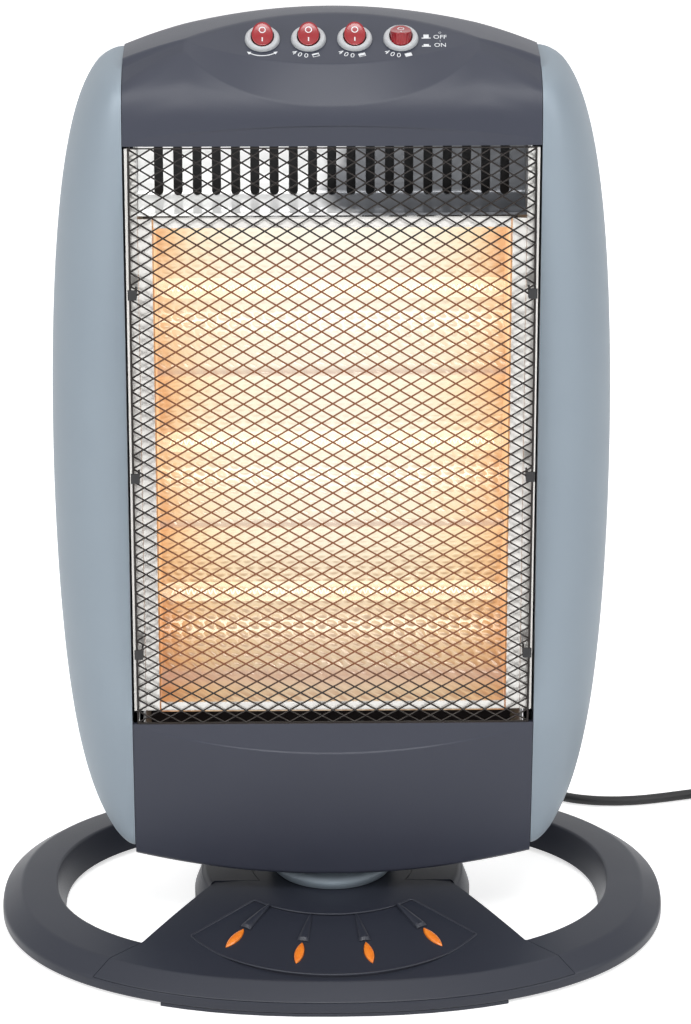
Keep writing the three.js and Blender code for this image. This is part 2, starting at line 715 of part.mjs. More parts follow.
const frontY = (x, z) =>
  FRONT_Y + (z - FRONT_Z) ** 2 / (2 * FRONT_RADIUS) + x ** 2 / (2 * FRONT_PLAN_RADIUS);
const leaningY = (x, z) =>
  frontY(x, z) + Math.max(0, z - LEAN_START) ** 2 / (2 * LEAN_RADIUS);
const backY = (x) => BACK_Y - BACK_CURVE * (x / HALF_BODY) ** 2;

const panelSlope = Math.tan(radians(PANEL_ANGLE));
const panelZ = (y) => PANEL_FRONT_Z + panelSlope * (y - PANEL_FRONT_Y);
const CREST_Y = PANEL_FRONT_Y + PANEL_LENGTH * Math.cos(radians(PANEL_ANGLE));
const PANEL_TIP_Y = PANEL_FRONT_Y + 15;

// The top's front-to-back profile at one x, from the grille's edge over the crown and down
// the back.
function upperProfile(x) {
  const across = x / HALF_BODY;
  const share = Math.abs(x) / PANEL_HALF_WIDTH;
  const inPanel = Math.min(share, 1);
  const beyond = Math.max(share - 1, 0);
  const crownZ = panelZ(CREST_Y) - CROWN_DROP * Math.abs(across) ** CROWN_POWER;
  const crestY = CREST_Y + (PANEL_TIP_Y + 1.5 - CREST_Y) * inPanel ** 2;
  const crest = [crestY, share < 1 ? panelZ(crestY) : crownZ];
  const creaseY = PANEL_FRONT_Y + (PANEL_TIP_Y - PANEL_FRONT_Y) * inPanel ** 2;
  const crease = [creaseY - 4 * beyond, share < 1 ? panelZ(creaseY) : crownZ - 1 - 5 * beyond];
  const scoopZ = SCOOP_BOTTOM + (crease[1] - 3 - SCOOP_BOTTOM) * inPanel ** 2 - 6 * beyond;
  const arcZ = STYLE_ARC_TOP - STYLE_ARC_DROP * across ** 2;
  const middleZ = (arcZ + scoopZ) / 2;
  return [
    [frontY(x, UPPER_BOTTOM) + STYLE_RECESS * (1 - across ** 2), UPPER_BOTTOM],
    [frontY(x, arcZ), arcZ],
    [leaningY(x, middleZ), middleZ],
    [leaningY(x, scoopZ), scoopZ],
    crease,
    crest,
    [22 - 4 * across ** 2, crest[1] - 2.5],
    [backY(x) - 16, crest[1] - 12],
    [backY(x) - 4, crest[1] - BACK_SHOULDER_DROP],
    [backY(x), UPPER_BOTTOM],
  ];
}

// The lower housing's profile at one x, from the grille's edge down and under to the back.
function lowerProfile(x) {
  const across = x / HALF_BODY;
  const edge = HEAD_BOTTOM + BOTTOM_ARCH * across ** 2;
  const arcZ = LOWER_TOP - 2 - (LOWER_TOP - 2 - STYLE_ARC_LOW) * (1 - across ** 2);
  return [
    [frontY(x, LOWER_TOP) + STYLE_RECESS * (1 - across ** 2), LOWER_TOP],
    [frontY(x, arcZ), arcZ],
    [frontY(x, LOWER_BELLY), LOWER_BELLY],
    [frontY(x, edge + 2), edge + 2],
    [frontY(x, edge) + 2.5, edge],
    [-15, edge + 2],
    [22, edge + 3],
    [backY(x) - 12, edge + 9],
    [backY(x), LOWER_BACK_TOP],
  ];
}

const halfStations = [1, 0.93, 0.84, 0.7, 0.58, 0.46, 0.32, 0.16];
const stations = [...halfStations.map((s) => -s), 0, ...[...halfStations].reverse()];

// A thin moulding: the profile at each station, doubled back along its inner side. Both
// sides start and end level with each other.
function moulding(profileAt, inward) {
  const rings = stations.map((share) => {
    const x = share * HALF_BODY;
    const outer = profileAt(x);
    const last = outer.length - 1;
    const inner = offsetPath(outer, inward * WALL);
    inner[0][1] = outer[0][1];
    inner[last][1] = outer[last][1];
    return [...outer, ...inner.reverse()].map(([y, z]) => [x, y, z]);
  });
  return solid(loft(rings, [1, 2]));
}

const switchY = PANEL_FRONT_Y + SWITCH_FROM_CREASE * Math.cos(radians(PANEL_ANGLE));
const switchXs = Array.from(
  { length: SWITCH_COUNT },
  (_, k) => (k - (SWITCH_COUNT - 1) / 2) * SWITCH_PITCH,
);

function switchPlace(x) {
  const place = new THREE.Matrix4().makeTranslation(x, switchY, panelZ(switchY));
  return place.multiply(new THREE.Matrix4().makeRotationX(radians(PANEL_ANGLE)));
}

function upperHousing() {
  const hole = (x) => disc(SWITCH_BODY_RADIUS + GAP, -6, 4, 14).applyMatrix4(switchPlace(x));
  return cut(moulding(upperProfile, 1), switchXs.map((x) => solid(hole(x))));
}

function lowerHousing() {
  const hole = disc(NECK_RADIUS + 2 * GAP, HEAD_BOTTOM - 5, HEAD_BOTTOM + 15, 32);
  return cut(moulding(lowerProfile, -1), [solid(hole)]);
}

// Front and back y of the body's end face at a height.
function endFace(z) {
  const outline = [...upperProfile(HALF_BODY), ...lowerProfile(HALF_BODY).reverse()];
  const hits = [];
  outline.forEach(([y, height], i) => {
    const [nextY, nextZ] = outline[(i + 1) % outline.length];
    if (height > z === nextZ > z) return;
    hits.push(y + ((z - height) * (nextY - y)) / (nextZ - height));
  });
  return [Math.min(...hits), Math.max(...hits)];
}

const sideHalfWidth = (z) =>
  SIDE_HALF_WIDTH * (1 - ((z - SIDE_MIDDLE) / SIDE_REACH) ** 2) ** SIDE_FULLNESS;

// One level slice of a side panel, drawn in by a skin and opened toward the body.
function sideSlice(z, skin, seamX, steps) {
  const [front, back] = endFace(z);
  const width = sideHalfWidth(z) - skin - seamX;
  const power = 2 / SIDE_PLAN_POWER;
  const quarter = (from, to) =>
    Array.from({ length: steps + 1 }, (_, k) => {
      const angle = (Math.PI / 2) * (k / steps);
      const x = seamX + width * Math.sin(angle) ** power;
      return [x, SIDE_WIDEST_Y + (from + to - SIDE_WIDEST_Y) * Math.cos(angle) ** power, z];
    });
  return [...quarter(front, skin), ...quarter(back, -skin).reverse().slice(1)];
}

const sideLevels = [0, 0.01, 0.03, 0.065, 0.12, 0.2, 0.32];

function sidePanel(side) {
  const levels = [...sideLevels, 0.5, ...sideLevels.map((share) => 1 - share).reverse()];
  const heightAt = (share, margin) =>
    SIDE_BOTTOM + margin + (SIDE_TOP - SIDE_BOTTOM - 2 * margin) * share;
  const seam = HALF_BODY + GAP;
  const skinOf = (margin, skin, seamX, steps) =>
    solid(loft(levels.map((share) => sideSlice(heightAt(share, margin), skin, seamX, steps)), [0, 1]));
  const shell = cut(skinOf(0, 0, seam, 5), [skinOf(5, WALL, seam - 1, 4)]);
  return side > 0 ? geometryOf(shell) : geometryOf(shell).scale(-1, 1, 1);
}

// A mirrored geometry is turned right side out again.
const rightSideOut = (geometry) => geometryOf(solid(geometry));

function backCover() {
  const xs = Array.from({ length: 13 }, (_, k) => HALF_BODY * (k / 6 - 1));
  const outer = xs.map((x) => [x, backY(x)]);
  const inner = offsetPath(outer, WALL).reverse();
  const cover = prism([...outer, ...inner], LOWER_BACK_TOP + GAP, UPPER_BOTTOM - GAP);
  const slots = BACK_SLOT_ROWS.flatMap(([low, high]) =>
    Array.from({ length: BACK_SLOT_COUNT }, (_, k) => {
      const x = (k - (BACK_SLOT_COUNT - 1) / 2) * BACK_SLOT_PITCH;
      const box = new THREE.BoxGeometry(BACK_SLOT_WIDTH, 40, high - low);
      return solid(box.translate(x, BACK_Y - 10, (low + high) / 2));
    }),
  );
  return cut(cover, slots);
}

function buildMouldings() {
  place('upper_housing', upperHousing(), DARK_PLASTIC);
  place('lower_housing', lowerHousing(), DARK_PLASTIC);
  place('side_panel_right', rightSideOut(sidePanel(1)), SILVER_BLUE);
  place('side_panel_left', rightSideOut(sidePanel(-1)), SILVER_BLUE);
  place('back_cover', backCover(), DARK_PLASTIC);
}

// ---------------------------------------------------------------- grille

const grilleLow = LOWER_TOP + GAP;
const grilleHigh = UPPER_BOTTOM - GAP;
const netLow = grilleLow + GRILLE_RIM / 2;
const netHigh = grilleHigh - GRILLE_RIM / 2;
const netRight = GRILLE_HALF_WIDTH - GRILLE_RIM / 2;

// The net is flat across and bent at a few level lines to follow the front's bow.
const flatLength = (netHigh - netLow) / GRILLE_FLATS;

function netY(z) {
  const flat = Math.max(0, Math.min(Math.floor((z - netLow) / flatLength), GRILLE_FLATS - 1));
  const [low, high] = [netLow + flat * flatLength, netLow + (flat + 1) * flatLength];
  const [lowY, highY] = [frontY(0, low), frontY(0, high)];
  return GRILLE_SETBACK + lowY + ((highY - lowY) * (z - low)) / (high - low);
}

// Expanded metal. Knots stand at every other crossing of a grid of half cells, and strands
// with a ridge to the front join each knot to its four diagonal neighbours. A knot has five
// corners: its ridge point, then top, right, bottom and left on the flat back.
function net() {
  const [columns, rows] = [2 * NET_COLUMNS, 2 * NET_ROWS];
  const [stepX, stepZ] = [(2 * netRight) / columns, (netHigh - netLow) / rows];
  const reach = (STRAND_WIDTH / 2) * Math.hypot(stepX, stepZ);
  const corners = [[0, 0], [0, reach / stepX], [reach / stepZ, 0], [0, -reach / stepX], [-reach / stepZ, 0]];
  const first = new Map();
  const positions = [];
  for (let i = 0; i <= columns; i++) {
    for (let j = i % 2; j <= rows; j += 2) {
      first.set(`${i},${j}`, positions.length / 3);
      corners.forEach(([dx, dz], k) => {
        const z = netLow + j * stepZ + dz;
        positions.push(i * stepX - netRight + dx, netY(z) + (k > 0 ? STRAND_DEPTH : 0), z);
      });
    }
  }
  const index = [];
  const face = (...points) => {
    for (let k = 2; k < points.length; k++) index.push(points[0], points[k - 1], points[k]);
  };
  const [ridge, top, right, bottom, left] = [0, 1, 2, 3, 4];
  for (const [key, a] of first) {
    const [i, j] = key.split(',').map(Number);
    const knot = (di, dj) => first.get(`${i + di},${j + dj}`);
    face(a + top, a + right, a + bottom, a + left);
    const rising = knot(1, 1);
    if (rising !== undefined) {
      face(a + ridge, rising + ridge, rising + left, a + top);
      face(a + ridge, a + right, rising + bottom, rising + ridge);
      face(a + top, rising + left, rising + bottom, a + right);
    }
    const falling = knot(1, -1);
    if (falling !== undefined) {
      face(a + ridge, falling + ridge, falling + top, a + right);
      face(a + ridge, a + bottom, falling + left, falling + ridge);
      face(a + right, falling + top, falling + left, a + bottom);
    }
    if (rising === undefined) face(a + ridge, a + right, a + top);
    if (falling === undefined) face(a + ridge, a + bottom, a + right);
    if (knot(-1, -1) === undefined) face(a + ridge, a + left, a + bottom);
    if (knot(-1, 1) === undefined) face(a + ridge, a + top, a + left);
  }
  const geometry = new THREE.BufferGeometry();
  geometry.setAttribute('position', new THREE.Float32BufferAttribute(positions, 3));
  geometry.setIndex(index);
  return solid(geometry);
}

// The side rims are angles that run back along the frame; the ends are flat strips.
function grilleRim() {
  const outer = GRILLE_HALF_WIDTH;
  const lip = 0.2; // the rim is this much thicker than the net, front and back
  const front = (z) => netY(z) - lip;
  const back = (z) => netY(z) + STRAND_DEPTH + lip;
  const bends = Array.from({ length: GRILLE_FLATS - 1 }, (_, k) => netLow + (k + 1) * flatLength);
  const rim = (side) =>
    solid(loft([grilleLow, ...bends, grilleHigh].map((z) => [
      [side * (outer - GRILLE_RIM), front(z), z],
      [side * outer, front(z), z],
      [side * outer, front(z) + GRILLE_FLANGE, z],
      [side * (outer - SHEET), front(z) + GRILLE_FLANGE, z],
      [side * (outer - SHEET), back(z), z],
      [side * (outer - GRILLE_RIM), back(z), z],
    ]), [0, 1]));
  const strip = (low, high) => {
    const side = [[front(low), low], [back(low), low], [back(high), high], [front(high), high]];
    return beam(side, SHEET - outer, outer - SHEET);
  };
  const ends = [strip(grilleLow, grilleLow + GRILLE_RIM), strip(grilleHigh - GRILLE_RIM, grilleHigh)];
  return [rim(1), rim(-1), ...ends];
}

// ---------------------------------------------------------------- reflector and lamps

const troughCentre = (k) => TROUGH_START + TROUGH_PITCH * (k + 0.5);
const troughTop = TROUGH_START + TROUGH_PITCH * TROUGH_COUNT;

// A tray of bright sheet: three troughs between end plates that the lamps pass through, with
// a flange along the front of each end plate.
function reflector() {
  const [low, high] = [TROUGH_START - LIP_DROP, troughTop + LIP_RISE];
  const path = [[FRAME_FRONT_Y, low]];
  for (let k = 0; k < TROUGH_COUNT; k++) {
    for (let step = k > 0 ? 1 : 0; step <= 8; step++) {
      const u = step / 4 - 1;
      path.push([TROUGH_RIDGE_Y + TROUGH_DEPTH * (1 - u * u), troughCentre(k) + (u * TROUGH_PITCH) / 2]);
    }
  }
  path.push([FRAME_FRONT_Y, high]);
  const back = offsetPath(path, REFLECTOR_SHEET).reverse();
  const middle = offsetPath(path, REFLECTOR_SHEET / 2);
  const outerX = TRAY_END_X + REFLECTOR_SHEET;
  const tray = beam([...path, ...back], -outerX, outerX);
  const flange = [
    [FRAME_FRONT_Y, low],
    [FRAME_FRONT_Y + REFLECTOR_SHEET, low],
    [FRAME_FRONT_Y + REFLECTOR_SHEET, high],
    [FRAME_FRONT_Y, high],
  ];
  const ends = [-1, 1].flatMap((side) => {
    const run = (outline, near, far) => beam(outline, ...[side * near, side * far].sort((p, q) => p - q));
    return [run(middle, TRAY_END_X, outerX), run(flange, TRAY_END_X, FRAME_X - GAP)];
  });
  const holes = Array.from({ length: TROUGH_COUNT }, (_, k) => {
    const hole = disc(LAMP_RADIUS + 2 * GAP, -FRAME_X, FRAME_X, 12).rotateY(Math.PI / 2);
    return solid(hole.translate(0, LAMP_Y, troughCentre(k)));
  });
  return cut(join([tray, ...ends]), holes);
}

function ventSlot(x) {
  const half = VENT_WIDTH / 2;
  const bottom = arc(half, 180, 360, 4).map(([a, b]) => [x + a, VENT_BOTTOM + half + b]);
  const outline = [...bottom, [x + half, VENT_TOP], [x - half, VENT_TOP]];
  const settings = { depth: VENT_CUT_DEPTH, bevelEnabled: false };
  const geometry = new THREE.ExtrudeGeometry(shapeOf(outline), settings);
  const cutFrom = SHIELD_BACK_Y + VENT_CUT_DEPTH / 2;
  return solid(geometry.rotateX(Math.PI / 2).translate(0, cutFrom, 0));
}

function heatShield() {
  const low = troughTop + LIP_RISE + REFLECTOR_SHEET + 3 * GAP;
  const outline = [
    [FRAME_FRONT_Y, low],
    [SHIELD_BACK_Y + SHEET, low + 1.5],
    [SHIELD_BACK_Y + SHEET, SHIELD_TOP],
    [SHIELD_BACK_Y, SHIELD_TOP],
    [SHIELD_BACK_Y, low + 1.5 + SHEET],
    [FRAME_FRONT_Y, low + SHEET],
  ];
  const slots = Array.from({ length: VENT_COUNT }, (_, k) =>
    ventSlot((k - (VENT_COUNT - 1) / 2) * VENT_PITCH),
  );
  return cut(beam(outline, GAP - FRAME_X, FRAME_X - GAP), slots);
}

// An upright of sheet whose edges follow the mouldings' inner faces.
function sideFrame(side) {
  const inset = WALL + 2 * GAP;
  const upper = offsetPath(upperProfile(FRAME_X + SHEET), inset);
  const lower = offsetPath(lowerProfile(FRAME_X + SHEET), -inset);
  const backEdge = backY(FRAME_X + SHEET) - inset;
  const outline = [
    ...upper.slice(0, -1),
    [backEdge, upper[upper.length - 1][1]],
    [backEdge, LOWER_BACK_TOP],
    ...lower.slice(1, -1).reverse(),
    [FRAME_FRONT_Y, LOWER_TOP],
    [FRAME_FRONT_Y, UPPER_BOTTOM],
  ];
  const plate = beam(outline.reverse(), FRAME_X, FRAME_X + SHEET);
  const holes = Array.from({ length: TROUGH_COUNT }, (_, k) => {
    const hole = disc(CAP_RADIUS + GAP, FRAME_X - 5, FRAME_X + 5, 12).rotateY(Math.PI / 2);
    return solid(hole.translate(0, LAMP_Y, troughCentre(k)));
  });
  const frame = geometryOf(cut(plate, holes));
  return side > 0 ? frame : rightSideOut(frame.scale(-1, 1, 1));
}

function lampTube() {
  const half = CAP_INNER_X - GAP;
  return disc(LAMP_RADIUS, -half, half, 12).rotateY(Math.PI / 2);
}

function lampCap(side) {
  const profile = [
    [0, CAP_INNER_X],
    [CAP_RADIUS, CAP_INNER_X],
    [CAP_RADIUS, CAP_OUTER_X - 3],
    [3, CAP_OUTER_X],
    [0, CAP_OUTER_X],
  ];
  return turned(profile, 10).rotateY((side * Math.PI) / 2);
}

const box = (size, centre) => new THREE.BoxGeometry(...size).translate(...centre);

function chassisFloor() {
  const halfWidth = FRAME_X - GAP;
  const outline = [
    [-halfWidth, CHASSIS_FRONT_Y],
    [halfWidth, CHASSIS_FRONT_Y],
    [halfWidth, CHASSIS_BACK_Y],
    [-halfWidth, CHASSIS_BACK_Y],
  ];
  const bore = solid(disc(SPINDLE_BORE, CHASSIS_Z - 1, CHASSIS_Z + 3, 24));
  return cut(prism(outline, CHASSIS_Z, CHASSIS_Z + SHEET), [bore]);
}

function buildHeating() {
  place('grille', join([...grilleRim(), net()]), DARK_WIRE);
  place('reflector', reflector(), BRIGHT_STEEL);
  place('heat_shield', heatShield(), BRIGHT_STEEL);
  place('side_frame_right', sideFrame(1), FRAME_STEEL);
  place('side_frame_left', sideFrame(-1), FRAME_STEEL);
  place('chassis_floor', chassisFloor(), FRAME_STEEL);
  for (let k = 0; k < TROUGH_COUNT; k++) {
    const lamp = new THREE.Group();
    lamp.position.set(0, LAMP_Y, troughCentre(k));
    root.add(lamp);
    place(`quartz_lamp_${k + 1}`, lampTube(), QUARTZ, lamp);
    place(`lamp_cap_right_${k + 1}`, lampCap(1), CERAMIC, lamp);
    place(`lamp_cap_left_${k + 1}`, lampCap(-1), CERAMIC, lamp);
  }
  const cutoutY = SHIELD_BACK_Y + SHEET + GAP + 4;
  place('thermal_cutout', box([14, 8, 16], [CUTOUT_X, cutoutY, SHIELD_TOP - 4]), CERAMIC);
  const onChassis = CHASSIS_Z + SHEET + GAP;
  place('terminal_block', box([42, 16, 11], [TERMINAL_INSET - FRAME_X, -8, onChassis + 5.5]), CERAMIC);
  place('tilt_switch', box([20, 12, 18], [FRAME_X - TILT_SWITCH_INSET, -4, onChassis + 9]), DARK_PLASTIC);
}

// ---------------------------------------------------------------- rocker switches

// A round body with a flange, and an oval well in which the rocker swings.
function bezel() {
  const body = turned([
    [0, -SWITCH_BODY_DEPTH],
    [SWITCH_BODY_RADIUS, -SWITCH_BODY_DEPTH],
    [SWITCH_BODY_RADIUS, GAP],
    [BEZEL_RADIUS, GAP],
    [BEZEL_RADIUS - 0.3, BEZEL_HEIGHT * 0.65],
    [BEZEL_RADIUS - BEZEL_CHAMFER, BEZEL_HEIGHT],
    [0, BEZEL_HEIGHT],
  ], BEZEL_SIDES);
  const floor = ROCKER_PIVOT - Math.hypot(ROCKER_FOOT_HALF_LENGTH, ROCKER_LOW) - 2 * GAP;
  const well = (room, low) => {
    const tool = disc(1, low, BEZEL_HEIGHT + 1, ROCKER_SIDES);
    return solid(tool.scale(ROCKER_HALF_WIDTH + ROCKER_SIDE_ROOM, ROCKER_HALF_LENGTH + room, 1));
  };
  return cut(solid(body), [well(ROCKER_SWING_ROOM, GAP), well(ROCKER_FOOT_ROOM, floor)]);
}

function rockerRing(halfWidth, halfLength, height) {
  return Array.from({ length: ROCKER_SIDES }, (_, k) => {
    const angle = (2 * Math.PI * k) / ROCKER_SIDES;
    return [halfWidth * Math.cos(angle), halfLength * Math.sin(angle), height];
  });
}

// An oval body that tilts in its well, narrower at the foot, its top dished a little.
function rocker() {
  const taper = ROCKER_HALF_LENGTH - ROCKER_FOOT_HALF_LENGTH;
  const body = loft([
    rockerRing(ROCKER_HALF_WIDTH - taper, ROCKER_FOOT_HALF_LENGTH, ROCKER_LOW),
    rockerRing(ROCKER_HALF_WIDTH, ROCKER_HALF_LENGTH, ROCKER_SKIRT),
    rockerRing(ROCKER_HALF_WIDTH, ROCKER_HALF_LENGTH, ROCKER_HIGH),
  ], [0, 1]);
  const [end, high] = [ROCKER_HALF_LENGTH, ROCKER_HIGH];
  const half = [[end / 2, high - ROCKER_DISH * 0.75], [end, high], [end, high + 1]];
  const dish = beam([[0, high - ROCKER_DISH], ...half, ...mirrored(half)], -end, end);
  return cut(solid(body), [dish]);
}

function buildSwitches() {
  switchXs.forEach((x, k) => {
    const group = new THREE.Group();
    group.applyMatrix4(switchPlace(x));
    root.add(group);
    place(`switch_bezel_${k + 1}`, bezel(), GREY_BEZEL, group);
    const key = place(`switch_rocker_${k + 1}`, rocker(), RED_ROCKER, group);
    key.position.z = ROCKER_PIVOT;
    key.rotation.x = radians(ROCKER_TILT * ROCKER_TILT_SIGNS[k]);
  });
}

// ---------------------------------------------------------------- mains lead

// The lead lies on the floor from the back of the ring round to the right.
const cordRoute = [
  CORD_EXIT,
  [36, 152, 6.2],
  [37.3, 159, 5.5],
  [41, 166.5, 4.6],
  [47.5, 172.5, 3.7],
  [56, 175.5, 3.1],
  [65.5, 175.3, 2.8],
  [75, 172, 2.8],
  [84, 166, 2.8],
  [92.5, 158.5, 2.8],
  [101, 149.8, 2.8],
  [110, 141, 2.8],
  [120.5, 130.6, 2.8],
  [132.5, 122.8, 2.8],
  [144.5, 119, 2.8],
  [156.2, 117.7, 2.8],
  [165, 117.9, 2.8],
  [173, 118.8, 2.8],
  [185, 121.4, 2.8],
  [197.6, 124.8, 2.8],
  [210, 128, 2.8],
  [223, 130.4, 2.8],
  [236, 131.6, 2.8],
  [246.3, 131.8, 2.8],
];

const COIL_LOW = 2.8;

// The coil's centre line: in along the floor, up in the half turn at the middle, out again.
function coilPoints() {
  const [cx, cy] = COIL_CENTRE;
  const turns = COIL_TURNS_PER_LAYER * COIL_LAYERS + COIL_LAST_PART;
  const count = Math.round(turns * COIL_LOOP_STEPS);
  const points = [new THREE.Vector3(cx - 2 * CORD_RADIUS, cy + COIL_OUTER_RADIUS, COIL_LOW)];
  for (let step = 0; step <= count; step++) {
    const done = step / COIL_LOOP_STEPS;
    const fromMiddle = done - COIL_TURNS_PER_LAYER;
    const radius = COIL_OUTER_RADIUS - COIL_STEP * (COIL_TURNS_PER_LAYER - Math.abs(fromMiddle));
    const climb = THREE.MathUtils.smoothstep(fromMiddle, -0.25, 0.25);
    const angle = Math.PI / 2 - 2 * Math.PI * done;
    points.push(new THREE.Vector3(
      cx + radius * Math.cos(angle),
      cy + radius * Math.sin(angle),
      COIL_LOW + COIL_STEP * climb,
    ));
  }
  const last = points[points.length - 1].clone();
  points.push(last.setY(last.y - 2 * CORD_RADIUS));
  return points;
}

// The least distance between stretches of the coil that are over half a turn apart.
function leastGap(points) {
  let least = Infinity;
  for (let i = 0; i < points.length; i++) {
    for (let k = i + COIL_LOOP_STEPS / 2; k < points.length; k++) {
      least = Math.min(least, points[i].distanceTo(points[k]));
    }
  }
  return least - 2 * CORD_RADIUS;
}

function pathLength(points) {
  return points.slice(1).reduce((sum, point, i) => sum + point.distanceTo(points[i]), 0);
}

// A round section along a smooth curve through the points.
function cordAlong(points, steps) {
  const curve = new THREE.CatmullRomCurve3(points, false, 'centripetal');
  const section = new THREE.Shape(
    Array.from({ length: CORD_SIDES }, (_, k) => {
      const angle = (2 * Math.PI * (k + 0.5)) / CORD_SIDES;
      return new THREE.Vector2(CORD_RADIUS * Math.cos(angle), CORD_RADIUS * Math.sin(angle));
    }),
  );
  const settings = { steps, bevelEnabled: false, extrudePath: curve };
  return new THREE.ExtrudeGeometry(section, settings);
}

// The tapered relief is hollowed at its root to sit on the rim's rear wall.
function strainRelief() {
  const wall = rearEdge(0, CORD_EXIT[0]);
  const tip = CORD_EXIT[1] - GAP;
  const body = turned([
    [0, tip - RELIEF_LENGTH - 8],
    [RELIEF_RADIUS, tip - RELIEF_LENGTH - 8],
    [RELIEF_RADIUS, wall + 3],
    [RELIEF_RADIUS - 0.8, wall + 4],
    [RELIEF_TIP_RADIUS, tip],
    [0, tip],
  ], 12).rotateX(-Math.PI / 2).translate(CORD_EXIT[0], 0, CORD_EXIT[2]);
  return cut(solid(body), [domedBase(-GAP)]);
}

function plug(axisZ) {
  const oval = (y, halfWidth, halfHeight) =>
    Array.from({ length: 16 }, (_, k) => {
      const angle = (2 * Math.PI * k) / 16;
      const bend = (value) => Math.sign(value) * Math.abs(value) ** 0.7;
      const x = PLUG_X + halfWidth * bend(Math.cos(angle));
      return [x, y, axisZ + halfHeight * bend(Math.sin(angle))];
    });
  const body = loft([
    oval(PLUG_REAR_Y, CORD_RADIUS + 1, CORD_RADIUS + 1),
    oval(PLUG_REAR_Y - 9, CORD_RADIUS + 2.2, CORD_RADIUS + 2.2),
    oval(PLUG_REAR_Y - 15, PLUG_HALF_WIDTH * 0.72, PLUG_HALF_HEIGHT * 0.8),
    oval(PLUG_REAR_Y - 24, PLUG_HALF_WIDTH, PLUG_HALF_HEIGHT),
    oval(PLUG_REAR_Y - PLUG_LENGTH, PLUG_HALF_WIDTH, PLUG_HALF_HEIGHT),
  ], [0, 2]);
  const pins = [-1, 1].map((side) => {
    const pin = disc(PLUG_PIN_RADIUS, 0, PLUG_PIN_LENGTH + 1, 8).rotateX(Math.PI / 2);
    const x = PLUG_X + (side * PLUG_PIN_SPACING) / 2;
    return solid(pin.translate(x, PLUG_REAR_Y - PLUG_LENGTH + 1, axisZ));
  });
  return join([solid(body), ...pins]);
}

function buildCord() {
  const coil = coilPoints();
  const end = coil[coil.length - 1];
  const route = cordRoute.map((point) => new THREE.Vector3(...point));
  const tail = [
    [end.x, end.y - GAP, end.z],
    [end.x + 0.6, end.y - 7, end.z],
    [end.x + 4, end.y - 16, end.z],
    [PLUG_X - 2, PLUG_REAR_Y + 14, end.z],
    [PLUG_X, PLUG_REAR_Y + 6, end.z],
    [PLUG_X, PLUG_REAR_Y + GAP, end.z],
  ].map((point) => new THREE.Vector3(...point));
  place('strain_relief', strainRelief(), BLACK_RUBBER);
  place('cord', cordAlong(route, 34), BLACK_RUBBER);
  place('cord_coil', solid(levelTube(coil, CORD_RADIUS, COIL_SIDES)), BLACK_RUBBER);
  place('cord_tail', cordAlong(tail, 6), BLACK_RUBBER);
  place('plug', plug(end.z), BLACK_RUBBER);
  const length = pathLength(route) + pathLength(coil) + pathLength(tail);
  console.log(`lead ${length.toFixed(0)} mm, least gap in the coil ${leastGap(coil).toFixed(2)} mm`);
}

buildBase();
buildDrive();
buildMouldings();
buildHeating();
buildSwitches();
buildCord();

export default root;
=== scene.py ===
# %% [markdown]
# # A free-standing halogen heater
# The imported CAD model gives every size and every moving body. This file dresses it: each
# visible moulding is drawn again with smooth faces, and each surface gets its finish. Lengths
# are written in millimetres, as on the drawing, and turned into metres at the last moment.

# %% Load the imported model and bake its placements into its meshes
import math

import bmesh
import bpy
from mathutils import Matrix, Vector


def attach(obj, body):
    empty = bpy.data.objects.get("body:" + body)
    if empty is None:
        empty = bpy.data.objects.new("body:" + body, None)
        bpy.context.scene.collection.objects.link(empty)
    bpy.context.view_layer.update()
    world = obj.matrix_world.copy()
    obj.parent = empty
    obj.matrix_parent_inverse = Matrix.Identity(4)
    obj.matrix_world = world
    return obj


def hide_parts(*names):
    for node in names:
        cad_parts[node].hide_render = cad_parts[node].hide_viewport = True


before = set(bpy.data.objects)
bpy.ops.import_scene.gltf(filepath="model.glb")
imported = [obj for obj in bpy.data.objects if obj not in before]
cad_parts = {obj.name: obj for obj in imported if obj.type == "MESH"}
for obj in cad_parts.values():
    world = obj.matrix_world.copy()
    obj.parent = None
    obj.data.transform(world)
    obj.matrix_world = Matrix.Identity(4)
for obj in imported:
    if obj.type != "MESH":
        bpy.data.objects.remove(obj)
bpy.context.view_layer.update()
MM = 0.001
scene = bpy.context.scene

# %% [markdown]
# ## Camera
# The heater was photographed from a little above and from far away, which keeps its sides
# nearly parallel. A long lens at two metres gives that look. The camera turns very slightly to
# the right, because the object stands a little left of the picture's middle.

# %% Camera at the photographed angle
CAMERA_PLACE = (-0.024, -2.2, 1.141)
CAMERA_TILT, CAMERA_TURN = math.radians(67.44), math.radians(-0.81)
SENSOR_WIDTH, FOCAL_LENGTH = 36, 162.7


def add_camera():
    data = bpy.data.cameras.new("camera")
    data.sensor_width = SENSOR_WIDTH
    data.lens = FOCAL_LENGTH
    data.clip_end = 20
    camera = bpy.data.objects.new("camera", data)
    camera.location = CAMERA_PLACE
    camera.rotation_euler = (CAMERA_TILT, 0, CAMERA_TURN)
    scene.collection.objects.link(camera)
    scene.camera = camera
    return camera


camera = add_camera()
print("camera at", tuple(camera.location))

# %% [markdown]
# ## Node helpers
# Materials and Geometry Nodes trees are both graphs. One small function adds a node, sets its
# properties and fills its inputs: a value goes into the socket, an output is linked to it.

# %% A node with its inputs filled in one line
def add_node(tree, kind, inputs=None, **settings):
    node = tree.nodes.new(kind)
    for key, value in settings.items():
        setattr(node, key, value)
    for key, value in (inputs or {}).items():
        if isinstance(value, bpy.types.NodeSocket):
            tree.links.new(value, node.inputs[key])
        else:
            node.inputs[key].default_value = value
    return node


def maths(tree, operation, *values):
    node = add_node(tree, "ShaderNodeMath", dict(enumerate(values)), operation=operation)
    return node.outputs[0]


